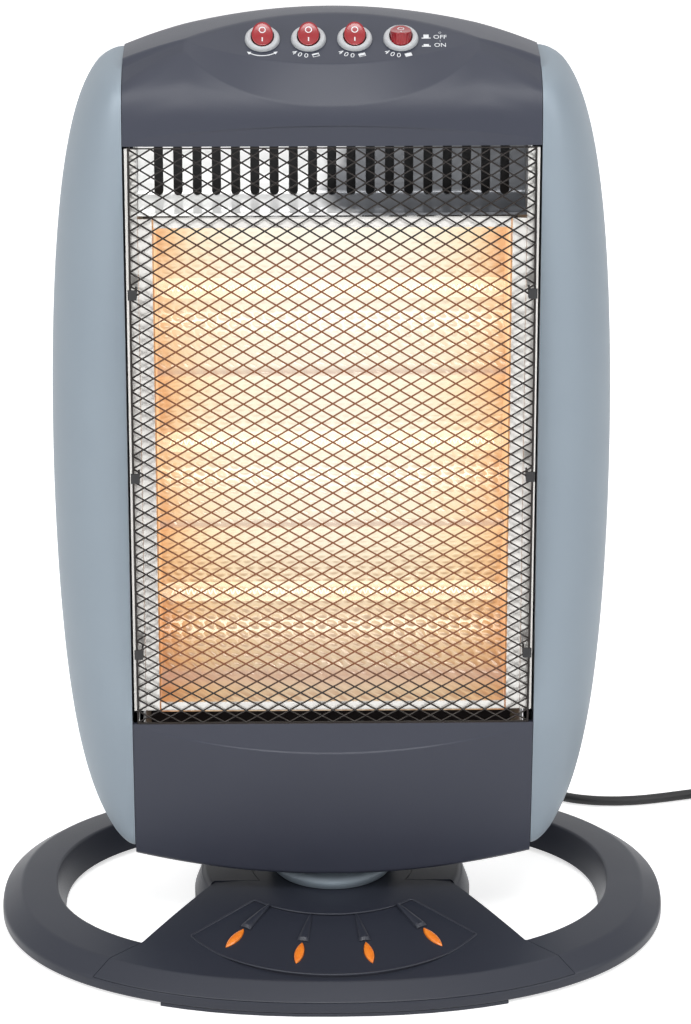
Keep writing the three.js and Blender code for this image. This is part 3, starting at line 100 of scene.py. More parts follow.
def srgb(red, green, blue):
    """A colour as read off a screen, 0 to 255, turned into Blender's linear values."""
    def linear(value):
        value /= 255
        return value / 12.92 if value <= 0.04045 else ((value + 0.055) / 1.055) ** 2.4

    return (linear(red), linear(green), linear(blue), 1)


print("node helpers ready")

# %% [markdown]
# ## Surface effects as shader node groups
# Moulded plastic, paint and sheet metal share two effects. The first is a fine grain, which
# breaks up the highlights. The second is a slow drift of colour, as large mouldings have. Each
# is a group with named inputs, built once and placed in each material with its own values. A
# group gives out only values and colours: the shader itself stays in the material.

# %% A new group, the object's own coordinates and a cloudy value
def new_group(name, inputs, outputs):
    """A shader node group. A socket is given its kind, or the number that it starts at."""
    group = bpy.data.node_groups.new(name, "ShaderNodeTree")
    for direction, sockets in (("INPUT", inputs), ("OUTPUT", outputs)):
        for label, what in sockets.items():
            kind = what if isinstance(what, str) else "Float"
            socket = group.interface.new_socket(
                label, in_out=direction, socket_type=f"NodeSocket{kind}"
            )
            if kind != what:
                socket.default_value = what
    return group, group.nodes.new("NodeGroupInput").outputs


def object_place(tree):
    return add_node(tree, "ShaderNodeTexCoord").outputs["Object"]


def cloud_at(tree, place, scale, detail=2.0):
    """A cloudy value about a half."""
    inputs = {"Vector": place, "Scale": scale, "Detail": detail}
    return add_node(tree, "ShaderNodeTexNoise", inputs).outputs["Fac"]


print("group helpers ready")


# %% Group: fine grain as a height and a roughness
def build_grain_group():
    group, given = new_group(
        "fine grain", {"Scale": 2500.0, "Roughness": 0.4, "Spread": 0.06},
        {"Height": "Float", "Roughness": "Float"},
    )
    place = object_place(group)
    fine = cloud_at(group, place, given["Scale"])
    slow = cloud_at(group, place, 60.0, 3.0)
    spread = maths(group, "MULTIPLY", maths(group, "SUBTRACT", slow, 0.5), given["Spread"])
    rough = maths(group, "ADD", given["Roughness"], spread)
    add_node(group, "NodeGroupOutput", {"Height": fine, "Roughness": rough})
    return group


grain_group = build_grain_group()
print("group:", grain_group.name)


# %% Group: a slow drift between two colours
MIX_FACTOR, MIX_FIRST, MIX_SECOND, MIX_RESULT = 0, 6, 7, 2


def mixed(tree, fraction, first, second, blend="MIX"):
    """Two colours mixed; the sockets go by number, because their names repeat."""
    inputs = {MIX_FACTOR: fraction, MIX_FIRST: first, MIX_SECOND: second}
    node = add_node(tree, "ShaderNodeMix", data_type="RGBA", blend_type=blend)
    for socket, value in inputs.items():
        if isinstance(value, bpy.types.NodeSocket):
            tree.links.new(value, node.inputs[socket])
        else:
            node.inputs[socket].default_value = value
    return node.outputs[MIX_RESULT]


def build_drift_group():
    group, given = new_group(
        "colour drift", {"Colour": "Color", "Drift Colour": "Color", "Scale": 14.0},
        {"Colour": "Color"},
    )
    cloud = cloud_at(group, object_place(group), given["Scale"])
    drift = mixed(group, cloud, given["Colour"], given["Drift Colour"])
    add_node(group, "NodeGroupOutput", {"Colour": drift})
    return group


drift_group = build_drift_group()
print("group:", drift_group.name)


# %% A material from the two groups
def new_material(name):
    material = bpy.data.materials.new(name)
    material.use_nodes = True
    tree = material.node_tree
    return material, tree, tree.nodes["Principled BSDF"]


def set_plain(shader, **values):
    """Values that are the same all over the surface, set on the shader's own sockets."""
    for key, value in values.items():
        shader.inputs[key.replace("_", " ")].default_value = value


def grained(name, colour, drift, roughness, bump, scale=2500.0, **plain):
    material, tree, shader = new_material(name)
    tint = add_node(tree, "ShaderNodeGroup", node_tree=drift_group)
    tint.inputs["Colour"].default_value = colour
    tint.inputs["Drift Colour"].default_value = drift
    grain = add_node(tree, "ShaderNodeGroup", node_tree=grain_group)
    grain.inputs["Scale"].default_value = scale
    grain.inputs["Roughness"].default_value = roughness
    relief = add_node(tree, "ShaderNodeBump", {"Strength": bump, "Distance": 0.0002})
    tree.links.new(grain.outputs["Height"], relief.inputs["Height"])
    tree.links.new(relief.outputs["Normal"], shader.inputs["Normal"])
    tree.links.new(tint.outputs["Colour"], shader.inputs["Base Color"])
    tree.links.new(grain.outputs["Roughness"], shader.inputs["Roughness"])
    set_plain(shader, **plain)
    return material


slate = grained(
    "slate plastic", srgb(52, 55, 67), srgb(57, 60, 72), 0.4, 0.2, Specular_IOR_Level=0.36
)
base_slate = grained(
    "base plastic", srgb(42, 45, 55), srgb(47, 50, 60), 0.38, 0.26, Specular_IOR_Level=0.34
)
silver_blue = grained(
    "silver blue paint", srgb(134, 146, 157), srgb(142, 154, 164), 0.5, 0.08, 4000.0, Metallic=0.15
)
bezel_grey = grained("bezel plastic", srgb(190, 193, 195), srgb(182, 185, 188), 0.35, 0.08)
black_rubber = grained("black rubber", srgb(24, 24, 26), srgb(32, 32, 34), 0.55, 0.3, 1800.0)
dark_wire = grained(
    "dark plated wire", srgb(44, 39, 37), srgb(34, 31, 30), 0.38, 0.1, 1500.0, Metallic=0.6
)
plain_steel = grained(
    "pressed steel", srgb(150, 152, 155), srgb(128, 130, 134), 0.42, 0.12, 900.0, Metallic=0.9
)
chrome_sheet = grained(
    "bright sheet", srgb(240, 238, 234), srgb(222, 220, 216), 0.16, 0.02, 700.0, Metallic=0.45
)
pale_steel = grained(
    "zinc plated steel", srgb(206, 206, 204), srgb(188, 189, 190), 0.3, 0.05, 900.0, Metallic=0.2
)
ceramic = grained("unglazed ceramic", srgb(226, 220, 206), srgb(214, 206, 190), 0.65, 0.35, 1600.0)
nickelled_pin = grained(
    "nickelled pin", srgb(205, 203, 196), srgb(190, 187, 178), 0.25, 0.06, 1200.0, Metallic=1.0
)
print("materials so far:", len(bpy.data.materials))

# %% [markdown]
# ## The mains lead
# The real lead is a round flexible cord of about 1.6 m. The photograph shows only the first
# stretch, so the rest is put away in a round coil outside the picture, with its plug beside it.
# One Bezier curve through listed points carries a round bevel, which keeps the lead's thickness and
# length true. The points are those of the drawing.

# %% Route, coil and tail of the lead
CORD_RADIUS = 2.7
CORD_EXIT = (36, 146.3, 6.4)
CORD_ROUTE = [
    CORD_EXIT, (36, 152, 6.2), (37.3, 159, 5.5), (41, 166.5, 4.6), (47.5, 172.5, 3.7),
    (56, 175.5, 3.1), (65.5, 175.3, 2.8), (75, 172, 2.8), (84, 166, 2.8), (92.5, 158.5, 2.8),
    (101, 149.8, 2.8), (110, 141, 2.8), (120.5, 130.6, 2.8), (132.5, 122.8, 2.8),
    (144.5, 119, 2.8), (156.2, 117.7, 2.8), (165, 117.9, 2.8), (173, 118.8, 2.8),
    (185, 121.4, 2.8), (197.6, 124.8, 2.8), (210, 128, 2.8), (223, 130.4, 2.8), (236, 131.6, 2.8),
]
COIL_CENTRE = (252, 89.5)
COIL_OUTER_RADIUS = 42.3
COIL_STEP = 6.2
COIL_TURNS_PER_LAYER = 3
COIL_LAYERS = 2
COIL_LAST_PART = 0.25
COIL_LOW = 2.8
POINTS_PER_TURN = 16
PLUG_X = 306
PLUG_REAR_Y = 47


def smoothstep(low, high, value):
    share = min(max((value - low) / (high - low), 0), 1)
    return share * share * (3 - 2 * share)


def coil_points():
    turns = COIL_TURNS_PER_LAYER * COIL_LAYERS + COIL_LAST_PART
    points = []
    for step in range(round(turns * POINTS_PER_TURN) + 1):
        done = step / POINTS_PER_TURN
        from_middle = done - COIL_TURNS_PER_LAYER
        radius = COIL_OUTER_RADIUS - COIL_STEP * (COIL_TURNS_PER_LAYER - abs(from_middle))
        angle = math.pi / 2 - 2 * math.pi * done
        points.append((
            COIL_CENTRE[0] + radius * math.cos(angle),
            COIL_CENTRE[1] + radius * math.sin(angle),
            COIL_LOW + COIL_STEP * smoothstep(-0.25, 0.25, from_middle),
        ))
    return points


coil = coil_points()
coil_end = coil[-1]
tail = [
    (coil_end[0] + 0.2, coil_end[1] - 7, coil_end[2]),
    (coil_end[0] + 4, coil_end[1] - 18, coil_end[2]),
    (PLUG_X - 2, PLUG_REAR_Y + 14, coil_end[2]),
    (PLUG_X, PLUG_REAR_Y + 6, coil_end[2]),
    (PLUG_X, PLUG_REAR_Y - 2, coil_end[2]),
]
lead_points = CORD_ROUTE + coil + tail
print("points along the lead:", len(lead_points))


# %% The lead as one round-bevelled curve
def bezier_cord(name, points, radius, material):
    data = bpy.data.curves.new(name, "CURVE")
    data.dimensions = "3D"
    data.resolution_u = 5
    data.bevel_depth = radius * MM
    data.bevel_resolution = 4
    data.use_fill_caps = True
    spline = data.splines.new("BEZIER")
    spline.bezier_points.add(len(points) - 1)
    for knot, point in zip(spline.bezier_points, points):
        knot.co = Vector(point) * MM
        knot.handle_left_type = knot.handle_right_type = "AUTO"
    data.materials.append(material)
    cord = bpy.data.objects.new(name, data)
    scene.collection.objects.link(cord)
    return cord


mains_lead = bezier_cord("mains_lead", lead_points, CORD_RADIUS, black_rubber)
bpy.context.view_layer.update()

# %% [markdown]
# ## Mesh helpers
# Nearly every moulding here is a sheet with two sides, or a stack of rings. `plate` closes two
# grids of points into one thin solid, `stack` closes a stack of rings, and `lathe` turns a
# profile about an axis. `finish_piece` makes the object, smooths it, rides it on its CAD body
# and names the material slot it takes its finish from.

# %% Points and faces of plates, stacks and lathes
def plate(outer, inner):
    """Two grids of points, row by row, closed into a solid along their borders."""
    rows, columns = len(outer), len(outer[0])
    points = [p for row in outer for p in row] + [p for row in inner for p in row]
    back = rows * columns
    at = lambda r, c: r * columns + c
    faces = []
    for r in range(rows - 1):
        for c in range(columns - 1):
            quad = [at(r, c), at(r, c + 1), at(r + 1, c + 1), at(r + 1, c)]
            faces += [quad, [back + k for k in reversed(quad)]]
    border = [at(0, c) for c in range(columns)] + [at(r, columns - 1) for r in range(1, rows)]
    border += [at(rows - 1, c) for c in range(columns - 2, -1, -1)]
    border += [at(r, 0) for r in range(rows - 2, 0, -1)]
    for a, b in zip(border, border[1:] + border[:1]):
        faces.append([b, a, back + a, back + b])
    return points, faces


def stack(rings, ends=True, around=False):
    """Closed rings joined one after another; around joins the last ring to the first."""
    count = len(rings[0])
    points = [p for ring in rings for p in ring]
    faces = []
    for r in range(len(rings) if around else len(rings) - 1):
        low, high = r * count, ((r + 1) % len(rings)) * count
        for k in range(count):
            n = (k + 1) % count
            faces.append([low + k, low + n, high + n, high + k])
    if ends and not around:
        faces.append(list(range(count))[::-1])
        faces.append([(len(rings) - 1) * count + k for k in range(count)])
    return points, faces


def lathe(profile, steps, closed=False):
    """A profile of (radius, height) turned about Z, which ends on the axis or is closed."""
    turns = [2 * math.pi * k / steps for k in range(steps)]
    rings = []
    for radius, height in profile:
        rings.append([(radius * math.cos(t), radius * math.sin(t), height) for t in turns])
    return stack(rings, ends=False, around=closed)


def moved(shape, matrix):
    points, faces = shape
    return [tuple(matrix @ Vector(p)) for p in points], faces


def merged(*shapes):
    points, faces = [], []
    for more_points, more_faces in shapes:
        faces += [[k + len(points) for k in face] for face in more_faces]
        points += more_points
    return points, faces


print("helpers ready")


# %% From points and faces to a riding piece
def mesh_of(name, shape):
    """A mesh in metres with doubles merged and faces turned outwards."""
    mesh = bpy.data.meshes.new(name)
    mesh.from_pydata([Vector(p) * MM for p in shape[0]], [], shape[1])
    work = bmesh.new()
    work.from_mesh(mesh)
    bmesh.ops.remove_doubles(work, verts=work.verts, dist=2e-6)
    bmesh.ops.dissolve_degenerate(work, edges=work.edges, dist=1e-6)
    bmesh.ops.recalc_face_normals(work, faces=work.faces)
    work.to_mesh(mesh)
    work.free()
    return mesh


def tool_mesh(shape):
    return mesh_of("tool", shape)


def finish_piece(name, mesh, body, material, replaces=(), sharp=32):
    mesh.shade_smooth()
    mesh.set_sharp_from_angle(angle=math.radians(sharp))
    mesh.materials.clear()
    mesh.materials.append(material)
    piece = bpy.data.objects.new(name, mesh)
    scene.collection.objects.link(piece)
    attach(piece, body)
    if replaces:
        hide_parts(*replaces)
    return piece


def combined(name, base, cuts=(), adds=(), keeps=()):
    """A mesh limited to some meshes, joined with others and cut by others."""
    holder = bpy.data.objects.new(name, base)
    scene.collection.objects.link(holder)
    tools = []
    for operation, meshes in (("INTERSECT", keeps), ("UNION", adds), ("DIFFERENCE", cuts)):
        for mesh in meshes:
            tool = bpy.data.objects.new("tool", mesh)
            scene.collection.objects.link(tool)
            tools.append(tool)
            change = holder.modifiers.new("join", "BOOLEAN")
            change.operation = operation
            change.solver = "EXACT"
            change.object = tool
    graph = bpy.context.evaluated_depsgraph_get()
    result = bpy.data.meshes.new_from_object(holder.evaluated_get(graph))
    for thing in [holder, *tools]:
        bpy.data.objects.remove(thing)
    result.name = name
    return result


def offset_path(path, distance):
    """A path moved to its right by a distance, with mitred corners."""
    normals = []
    for (a, b), (c, d) in zip(path, path[1:]):
        size = math.hypot(c - a, d - b) or 1e-9
        normals.append(((d - b) / size, -(c - a) / size))
    out = []
    for i, (a, b) in enumerate(path):
        before, after = normals[max(i - 1, 0)], normals[min(i, len(normals) - 1)]
        sum_a, sum_b = before[0] + after[0], before[1] + after[1]
        scale = 2 * distance / max(sum_a**2 + sum_b**2, 0.3)
        out.append((a + sum_a * scale, b + sum_b * scale))
    return out


def rounded(points, reaches, steps=4):
    """Corners replaced by short curves that start and end a reach away from each corner."""
    out = [tuple(points[0])]
    for before, corner, after, reach in zip(points, points[1:], points[2:], reaches):
        corner = Vector(corner)
        to_before, to_after = Vector(before) - corner, Vector(after) - corner
        span = min(reach, 0.48 * to_before.length, 0.48 * to_after.length)
        start, end = corner + to_before.normalized() * span, corner + to_after.normalized() * span
        for k in range(steps + 1):
            t = k / steps
            out.append(tuple(start * (1 - t) ** 2 + corner * 2 * t * (1 - t) + end * t * t))
    out.append(tuple(points[-1]))
    return out


def inset_outline(outline, distance):
    """A closed outline that runs anticlockwise, drawn in by a distance."""
    around = [outline[-1], *outline, outline[0]]
    return offset_path(around, -distance)[1:-1]


def prism(outline, low, high):
    return stack([[(x, y, low) for x, y in outline], [(x, y, high) for x, y in outline]])


def arc(radius, start, end, steps):
    angles = [math.radians(start + (end - start) * k / steps) for k in range(steps + 1)]
    return [(radius * math.cos(a), radius * math.sin(a)) for a in angles]


print("piece helpers ready")

RELIEF_RADIUS = 5.2
RELIEF_TIP = 3.7
RELIEF_ROOT_Y = 118.0
RELIEF_BARE_Y = 126.2
RELIEF_RINGS = 6


def strain_relief_shape():
    """A tapered sleeve with shallow rings."""
    tip = CORD_EXIT[1] - 0.3
    profile = [(0, RELIEF_ROOT_Y), (RELIEF_RADIUS, RELIEF_ROOT_Y), (RELIEF_RADIUS, RELIEF_BARE_Y)]
    for k in range(RELIEF_RINGS):
        start = RELIEF_BARE_Y + 0.6 + (tip - RELIEF_BARE_Y - 1.6) * k / RELIEF_RINGS
        pitch = (tip - RELIEF_BARE_Y - 1.6) / RELIEF_RINGS
        radius = RELIEF_RADIUS - (RELIEF_RADIUS - RELIEF_TIP) * k / RELIEF_RINGS
        profile += [(radius - 0.9, start), (radius - 0.9, start + 0.3 * pitch)]
        profile += [(radius - 0.15, start + 0.38 * pitch), (radius - 0.25, start + 0.95 * pitch)]
    profile += [(RELIEF_TIP - 0.3, tip), (0, tip)]
    place = Matrix.Translation((CORD_EXIT[0], 0, CORD_EXIT[2]))
    return moved(lathe(profile, 28), place @ Matrix.Rotation(-math.pi / 2, 4, "X"))


finish_piece(
    "strain_relief_sleeve", mesh_of("strain_relief_sleeve", strain_relief_shape()),
    "base", black_rubber, ["strain_relief"], 40,
)


def plug_ring(y, half_width, half_height, height):
    ring = []
    for k in range(40):
        angle = 2 * math.pi * k / 40
        bend = lambda value: math.copysign(abs(value) ** 0.7, value)
        across, up = half_width * bend(math.cos(angle)), half_height * bend(math.sin(angle))
        ring.append((PLUG_X + across, y, height + up))
    return ring


PLUG_SECTIONS = [
    (0, 3.5, 3.5), (-0.6, 4.0, 4.0), (-2.4, 4.2, 4.2), (-2.8, 3.6, 3.6), (-3.8, 3.6, 3.6),
    (-4.2, 4.4, 4.4), (-6.0, 4.6, 4.6), (-6.4, 3.9, 3.9), (-7.4, 4.0, 4.0), (-7.8, 4.8, 4.8),
    (-10, 5.6, 5.1), (-12.6, 8.6, 6.0), (-15, 12.0, 6.7), (-18, 14.6, 7.4), (-21, 16.2, 8.0),
    (-24, 16.9, 8.3), (-27, 16.9, 8.3), (-30, 16.7, 8.2), (-34.6, 16.9, 8.3),
    (-35.6, 16.5, 7.9), (-36, 15.6, 7.1),
]
PIN_PROFILE = [(0, 0), (2.38, 0), (2.38, 17.2), (1.9, 18.7), (0, 19)]
PIN_FROM_MIDDLE = 9.5


def plug_shape(height):
    """A flat two-pin plug: a grooved neck that widens into the grip, with a rounded face."""
    return stack([plug_ring(PLUG_REAR_Y + y, w, h, height) for y, w, h in PLUG_SECTIONS])


def plug_pins_shape(height):
    face_y = PLUG_REAR_Y + PLUG_SECTIONS[-1][0] + 0.2
    pins = []
    for side in (-1, 1):
        place = Matrix.Translation((PLUG_X + side * PIN_FROM_MIDDLE, face_y, height))
        pins.append(moved(lathe(PIN_PROFILE, 20), place @ Matrix.Rotation(math.pi / 2, 4, "X")))
    return merged(*pins)


plug_body = finish_piece(
    "plug_body", mesh_of("plug_body", plug_shape(coil_end[2])), "base", black_rubber,
    ["plug"], 40,
)
plug_pins = finish_piece(
    "plug_pins", mesh_of("plug_pins", plug_pins_shape(coil_end[2])), "base",
    nickelled_pin, (), 40,
)
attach(mains_lead, "base")
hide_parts("cord", "cord_coil", "cord_tail")

# %% [markdown]
# ## Geometry Nodes helpers
# What repeats on the heater is grown by small Geometry Nodes trees: the mesh of the grille, the
# cooling slots, the filaments and the screws. A tree has named inputs for its sizes. It is put
# on an empty object as a modifier, evaluated once, and its result is kept as a plain mesh.

# %% Build a tree and grow a mesh from it
def new_tree(name, sizes):
    tree = bpy.data.node_groups.new(name, "GeometryNodeTree")
    tree.interface.new_socket("Geometry", in_out="INPUT", socket_type="NodeSocketGeometry")
    for label, value in sizes.items():
        kind = "NodeSocketInt" if isinstance(value, int) else "NodeSocketFloat"
        tree.interface.new_socket(label, in_out="INPUT", socket_type=kind).default_value = value
    tree.interface.new_socket("Geometry", in_out="OUTPUT", socket_type="NodeSocketGeometry")
    return tree, tree.nodes.new("NodeGroupInput").outputs


def close_tree(tree, geometry, material):
    """Ends a tree in real geometry with its material."""
    real = add_node(tree, "GeometryNodeRealizeInstances", {0: geometry})
    coated = add_node(tree, "GeometryNodeSetMaterial", {"Geometry": real.outputs[0]})
    coated.inputs["Material"].default_value = material
    add_node(tree, "NodeGroupOutput", {0: coated.outputs[0]})


def grown(name, tree, sizes, base=None):
    """The plain mesh that a tree makes from the given sizes, or from a base mesh."""
    holder = bpy.data.objects.new(name, base or bpy.data.meshes.new(name))
    scene.collection.objects.link(holder)
    change = holder.modifiers.new("grow", "NODES")
    change.node_group = tree
    for item in tree.interface.items_tree:
        if item.in_out == "INPUT" and item.name in sizes:
            change[item.identifier] = sizes[item.name]
    graph = bpy.context.evaluated_depsgraph_get()
    mesh = bpy.data.meshes.new_from_object(holder.evaluated_get(graph))
    holder.modifiers.remove(change)
    bpy.data.objects.remove(holder)
    mesh.name = name
    return mesh


def vector_of(tree, x=0.0, y=0.0, z=0.0):
    return add_node(tree, "ShaderNodeCombineXYZ", {0: x, 1: y, 2: z}).outputs[0]


def tube_along(tree, curve, radius, sides):
    """A capped round tube along a curve."""
    ring = add_node(
        tree, "GeometryNodeCurvePrimitiveCircle", {"Resolution": sides, "Radius": radius}
    )
    return add_node(tree, "GeometryNodeCurveToMesh", {
        "Curve": curve, "Profile Curve": ring.outputs[0], "Fill Caps": True,
    })


print("tree helpers ready")

# %% [markdown]
# ## Head profiles
# The head is a tall shell whose front is slightly bowed. Its top slopes forward in a flat,
# lens-shaped control panel, and a crescent is scooped out of the front below the panel. All of
# this follows from one front-to-back profile that changes with the distance from the middle, so
# the same function gives the mouldings, the side panels' edges and the grille's bow.

# %% Sizes of the head
HALF_BODY = 102.5
GAP = 0.3
WALL = 2.4
SHEET = 1.2
FRONT_Y, FRONT_Z, FRONT_RADIUS, FRONT_PLAN_RADIUS = -62, 270, 1300, 1500
BACK_Y, BACK_CURVE = 60, 14
HEAD_BOTTOM, BOTTOM_ARCH = 38.3, 12.5
LOWER_TOP, LOWER_BACK_TOP, UPPER_BOTTOM = 131, 75, 440
STYLE_ARC_TOP, STYLE_ARC_DROP, STYLE_ARC_LOW, STYLE_RECESS, STYLE_LEDGE = 451, 8, 114, 3.0, 0.9
PANEL_ANGLE = math.radians(26)
PANEL_FRONT_Y, PANEL_FRONT_Z, PANEL_LENGTH, PANEL_HALF_WIDTH = -35.5, 478, 36.6, 72
SCOOP_BOTTOM = 460.2
LEAN_START, LEAN_RADIUS = 452, 29
CROWN_DROP, CROWN_POWER = 18, 2.3


def front_y(x, z):
    return FRONT_Y + (z - FRONT_Z) ** 2 / (2 * FRONT_RADIUS) + x**2 / (2 * FRONT_PLAN_RADIUS)


def leaning_y(x, z):
    """The front, which leans back in an arc near the top."""
    return front_y(x, z) + max(0, z - LEAN_START) ** 2 / (2 * LEAN_RADIUS)


def back_y(x):
    return BACK_Y - BACK_CURVE * (x / HALF_BODY) ** 2


def panel_z(y):
    return PANEL_FRONT_Z + math.tan(PANEL_ANGLE) * (y - PANEL_FRONT_Y)


CREST_Y = PANEL_FRONT_Y + PANEL_LENGTH * math.cos(PANEL_ANGLE)
PANEL_TIP_Y = PANEL_FRONT_Y + 15
SWITCH_PITCH, SWITCH_FROM_CREASE, SWITCH_BODY_RADIUS = 22.6, 17.2, 7.5
SWITCH_XS = [(k - 1.5) * SWITCH_PITCH for k in range(4)]


def on_panel(x):
    """The place of a switch at a distance from the middle, with Z out of the panel."""
    y = PANEL_FRONT_Y + SWITCH_FROM_CREASE * math.cos(PANEL_ANGLE)
    return Matrix.Translation((x, y, panel_z(y))) @ Matrix.Rotation(PANEL_ANGLE, 4, "X")


print("height of the crest:", round(panel_z(CREST_Y), 1), "mm")


# %% Profiles of the two front mouldings
def upper_profile(x):
    """Front to back over the top, and how far each corner is rounded."""
    across = x / HALF_BODY
    share = abs(x) / PANEL_HALF_WIDTH
    in_panel, beyond = min(share, 1), max(share - 1, 0)
    crown_z = panel_z(CREST_Y) - CROWN_DROP * abs(across) ** CROWN_POWER
    crest_y = CREST_Y + (PANEL_TIP_Y + 1.5 - CREST_Y) * in_panel**2
    crest = (crest_y, panel_z(crest_y) if share < 1 else crown_z)
    crease_y = PANEL_FRONT_Y + (PANEL_TIP_Y - PANEL_FRONT_Y) * in_panel**2
    crease = (crease_y - 4 * beyond, panel_z(crease_y) if share < 1 else crown_z - 1 - 5 * beyond)
    scoop_z = SCOOP_BOTTOM + (crease[1] - 3 - SCOOP_BOTTOM) * in_panel**2 - 6 * beyond
    arc_z = STYLE_ARC_TOP - STYLE_ARC_DROP * across**2
    low_z, high_z = arc_z + (scoop_z - arc_z) / 3, arc_z + (scoop_z - arc_z) * 2 / 3
    points = [
        (front_y(x, UPPER_BOTTOM) + STYLE_RECESS * (1 - across**2), UPPER_BOTTOM),
        (front_y(x, arc_z - 1) + STYLE_LEDGE * (1 - across**2), arc_z - 1),
        (front_y(x, arc_z), arc_z),
        (leaning_y(x, low_z), low_z),
        (leaning_y(x, high_z), high_z),
        (leaning_y(x, scoop_z), scoop_z),
        crease,
        crest,
        (22 - 4 * across**2, crest[1] - 2.5),
        (back_y(x) - 16, crest[1] - 12),
        (back_y(x) - 4, crest[1] - 28),
        (back_y(x), UPPER_BOTTOM),
    ]
    edge = smoothstep(0.9, 1.4, share)
    reaches = [0.4, 0.4, 4, 4, 0.9 + 12 * edge, 0.6 + 14 * edge, 3 + 6 * edge, 14, 10, 16]
    return points, reaches


def lower_profile(x):
    """From the grille's edge down the front and under to the back."""
    across = x / HALF_BODY
    edge = HEAD_BOTTOM + BOTTOM_ARCH * across**2
    arc_z = LOWER_TOP - 2 - (LOWER_TOP - 2 - STYLE_ARC_LOW) * (1 - across**2)
    points = [
        (front_y(x, LOWER_TOP) + STYLE_RECESS * (1 - across**2), LOWER_TOP),
        (front_y(x, arc_z + 0.8) + STYLE_LEDGE * (1 - across**2), arc_z + 0.8),
        (front_y(x, arc_z), arc_z),
        (front_y(x, 80), 80),
        (front_y(x, edge + 2), edge + 2),
        (front_y(x, edge) + 2.5, edge),
        (-15, edge + 2),
        (22, edge + 3),
        (back_y(x) - 12, edge + 9),
        (back_y(x), LOWER_BACK_TOP),
    ]
    return points, [0.3, 0.3, 14, 1.4, 1.6, 10, 12, 9]


def moulding_shape(profile_at, inward):
    """A thin shell: the rounded profile at each station across, and its inner side."""
    stations = sorted({round(-HALF_BODY + HALF_BODY * k / 56, 4) for k in range(113)})
    outer, inner = [], []
    for x in stations:
        points, reaches = profile_at(x)
        moved_in = offset_path(points, inward * WALL)
        moved_in[0] = (moved_in[0][0], points[0][1])
        moved_in[-1] = (moved_in[-1][0], points[-1][1])
        outer.append([(x, y, z) for y, z in rounded(points, reaches)])
        inner.append([(x, y, z) for y, z in rounded(moved_in, [r + 2 for r in reaches])])
    return plate(outer, inner)


NECK_HOLE_RADIUS = 28.6


def round_tool(radius, low, high, steps=64):
    """A cylinder to cut with."""
    return lathe([(0, low), (radius, low), (radius, high), (0, high)], steps)


switch_hole = round_tool(SWITCH_BODY_RADIUS + GAP, -6, 4)
neck_hole = round_tool(NECK_HOLE_RADIUS, HEAD_BOTTOM - 5, HEAD_BOTTOM + 15)
upper_mesh = combined(
    "upper_moulding", mesh_of("upper", moulding_shape(upper_profile, 1)),
    cuts=[tool_mesh(moved(switch_hole, on_panel(x))) for x in SWITCH_XS],
)
lower_mesh = combined(
    "lower_moulding", mesh_of("lower", moulding_shape(lower_profile, -1)),
    cuts=[tool_mesh(neck_hole)],
)
upper_housing = finish_piece(
    "upper_moulding", upper_mesh, "head", slate, ["upper_housing"], 24
)
lower_housing = finish_piece(
    "lower_moulding", lower_mesh, "head", slate, ["lower_housing"], 24
)
print("faces:", len(upper_housing.data.polygons), len(lower_housing.data.polygons))

# %% [markdown]
# ## Side panels
# Each side is one full-height moulding in metallic paint. A level cut through it is a rounded
# shape between the body's front and back edges, and its width swells toward mid-height. The
# top and bottom rims roll inward over a few millimetres.

# %% Side panels as stacked level slices
SIDE_HALF_WIDTH, SIDE_MIDDLE, SIDE_REACH, SIDE_FULLNESS = 142.2, 263.2, 217.8, 0.0965
SIDE_WIDEST_Y, SIDE_PLAN_POWER = 2, 2.2
SIDE_BOTTOM, SIDE_TOP = 56, 472
SIDE_ROLL = 6.0
SIDE_LEVELS = 72


def end_face(z):
    """Front and back y of the body's end face at a height."""
    upper = rounded(*upper_profile(HALF_BODY))
    lower = rounded(*lower_profile(HALF_BODY))
    outline = upper + lower[::-1]
    hits = []
    for (y, height), (next_y, next_z) in zip(outline, outline[1:] + outline[:1]):
        if (height > z) != (next_z > z):
            hits.append(y + (z - height) * (next_y - y) / (next_z - height))
    return min(hits), max(hits)


def side_panel_shape(side):
    seam = HALF_BODY + GAP
    rings = []
    for k in range(SIDE_LEVELS + 1):
        share = 0.5 - 0.5 * math.cos(math.pi * k / SIDE_LEVELS)
        z = SIDE_BOTTOM + (SIDE_TOP - SIDE_BOTTOM) * share
        front, back = end_face(z)
        from_end = min(z - SIDE_BOTTOM, SIDE_TOP - z)
        roll = 1 - math.sqrt(max(0, 1 - max(0, 1 - from_end / SIDE_ROLL) ** 2))
        reach = (z - SIDE_MIDDLE) / SIDE_REACH
        width = SIDE_HALF_WIDTH * (1 - reach**2) ** SIDE_FULLNESS - seam - roll * SIDE_ROLL * 0.7
        front, back = front + roll * 3, back - roll * 3
        ring = []
        for j in range(41):
            angle = math.pi * j / 40
            edge = front if j <= 20 else back
            out = width * abs(math.sin(angle)) ** (2 / SIDE_PLAN_POWER)
            along = abs(math.cos(angle)) ** (2 / SIDE_PLAN_POWER)
            ring.append((side * (seam + out), SIDE_WIDEST_Y + (edge - SIDE_WIDEST_Y) * along, z))
        rings.append(ring)
    return stack(rings)


for side, label in ((1, "right"), (-1, "left")):
    name = f"side_moulding_{label}"
    panel = finish_piece(
        name, mesh_of(name, side_panel_shape(side)), "head", silver_blue,
        [f"side_panel_{label}"], 40,
    )
print("side panel faces:", len(panel.data.polygons))

# %% [markdown]
# ## Back cover
# The back is one sheet, curved across, with two rows of slots that let the warm air out. The
# slots are cut by a Geometry Nodes tree: a line of points carries a cutter made of a bar and two
# round ends, and a boolean takes each of the three away along the whole row.

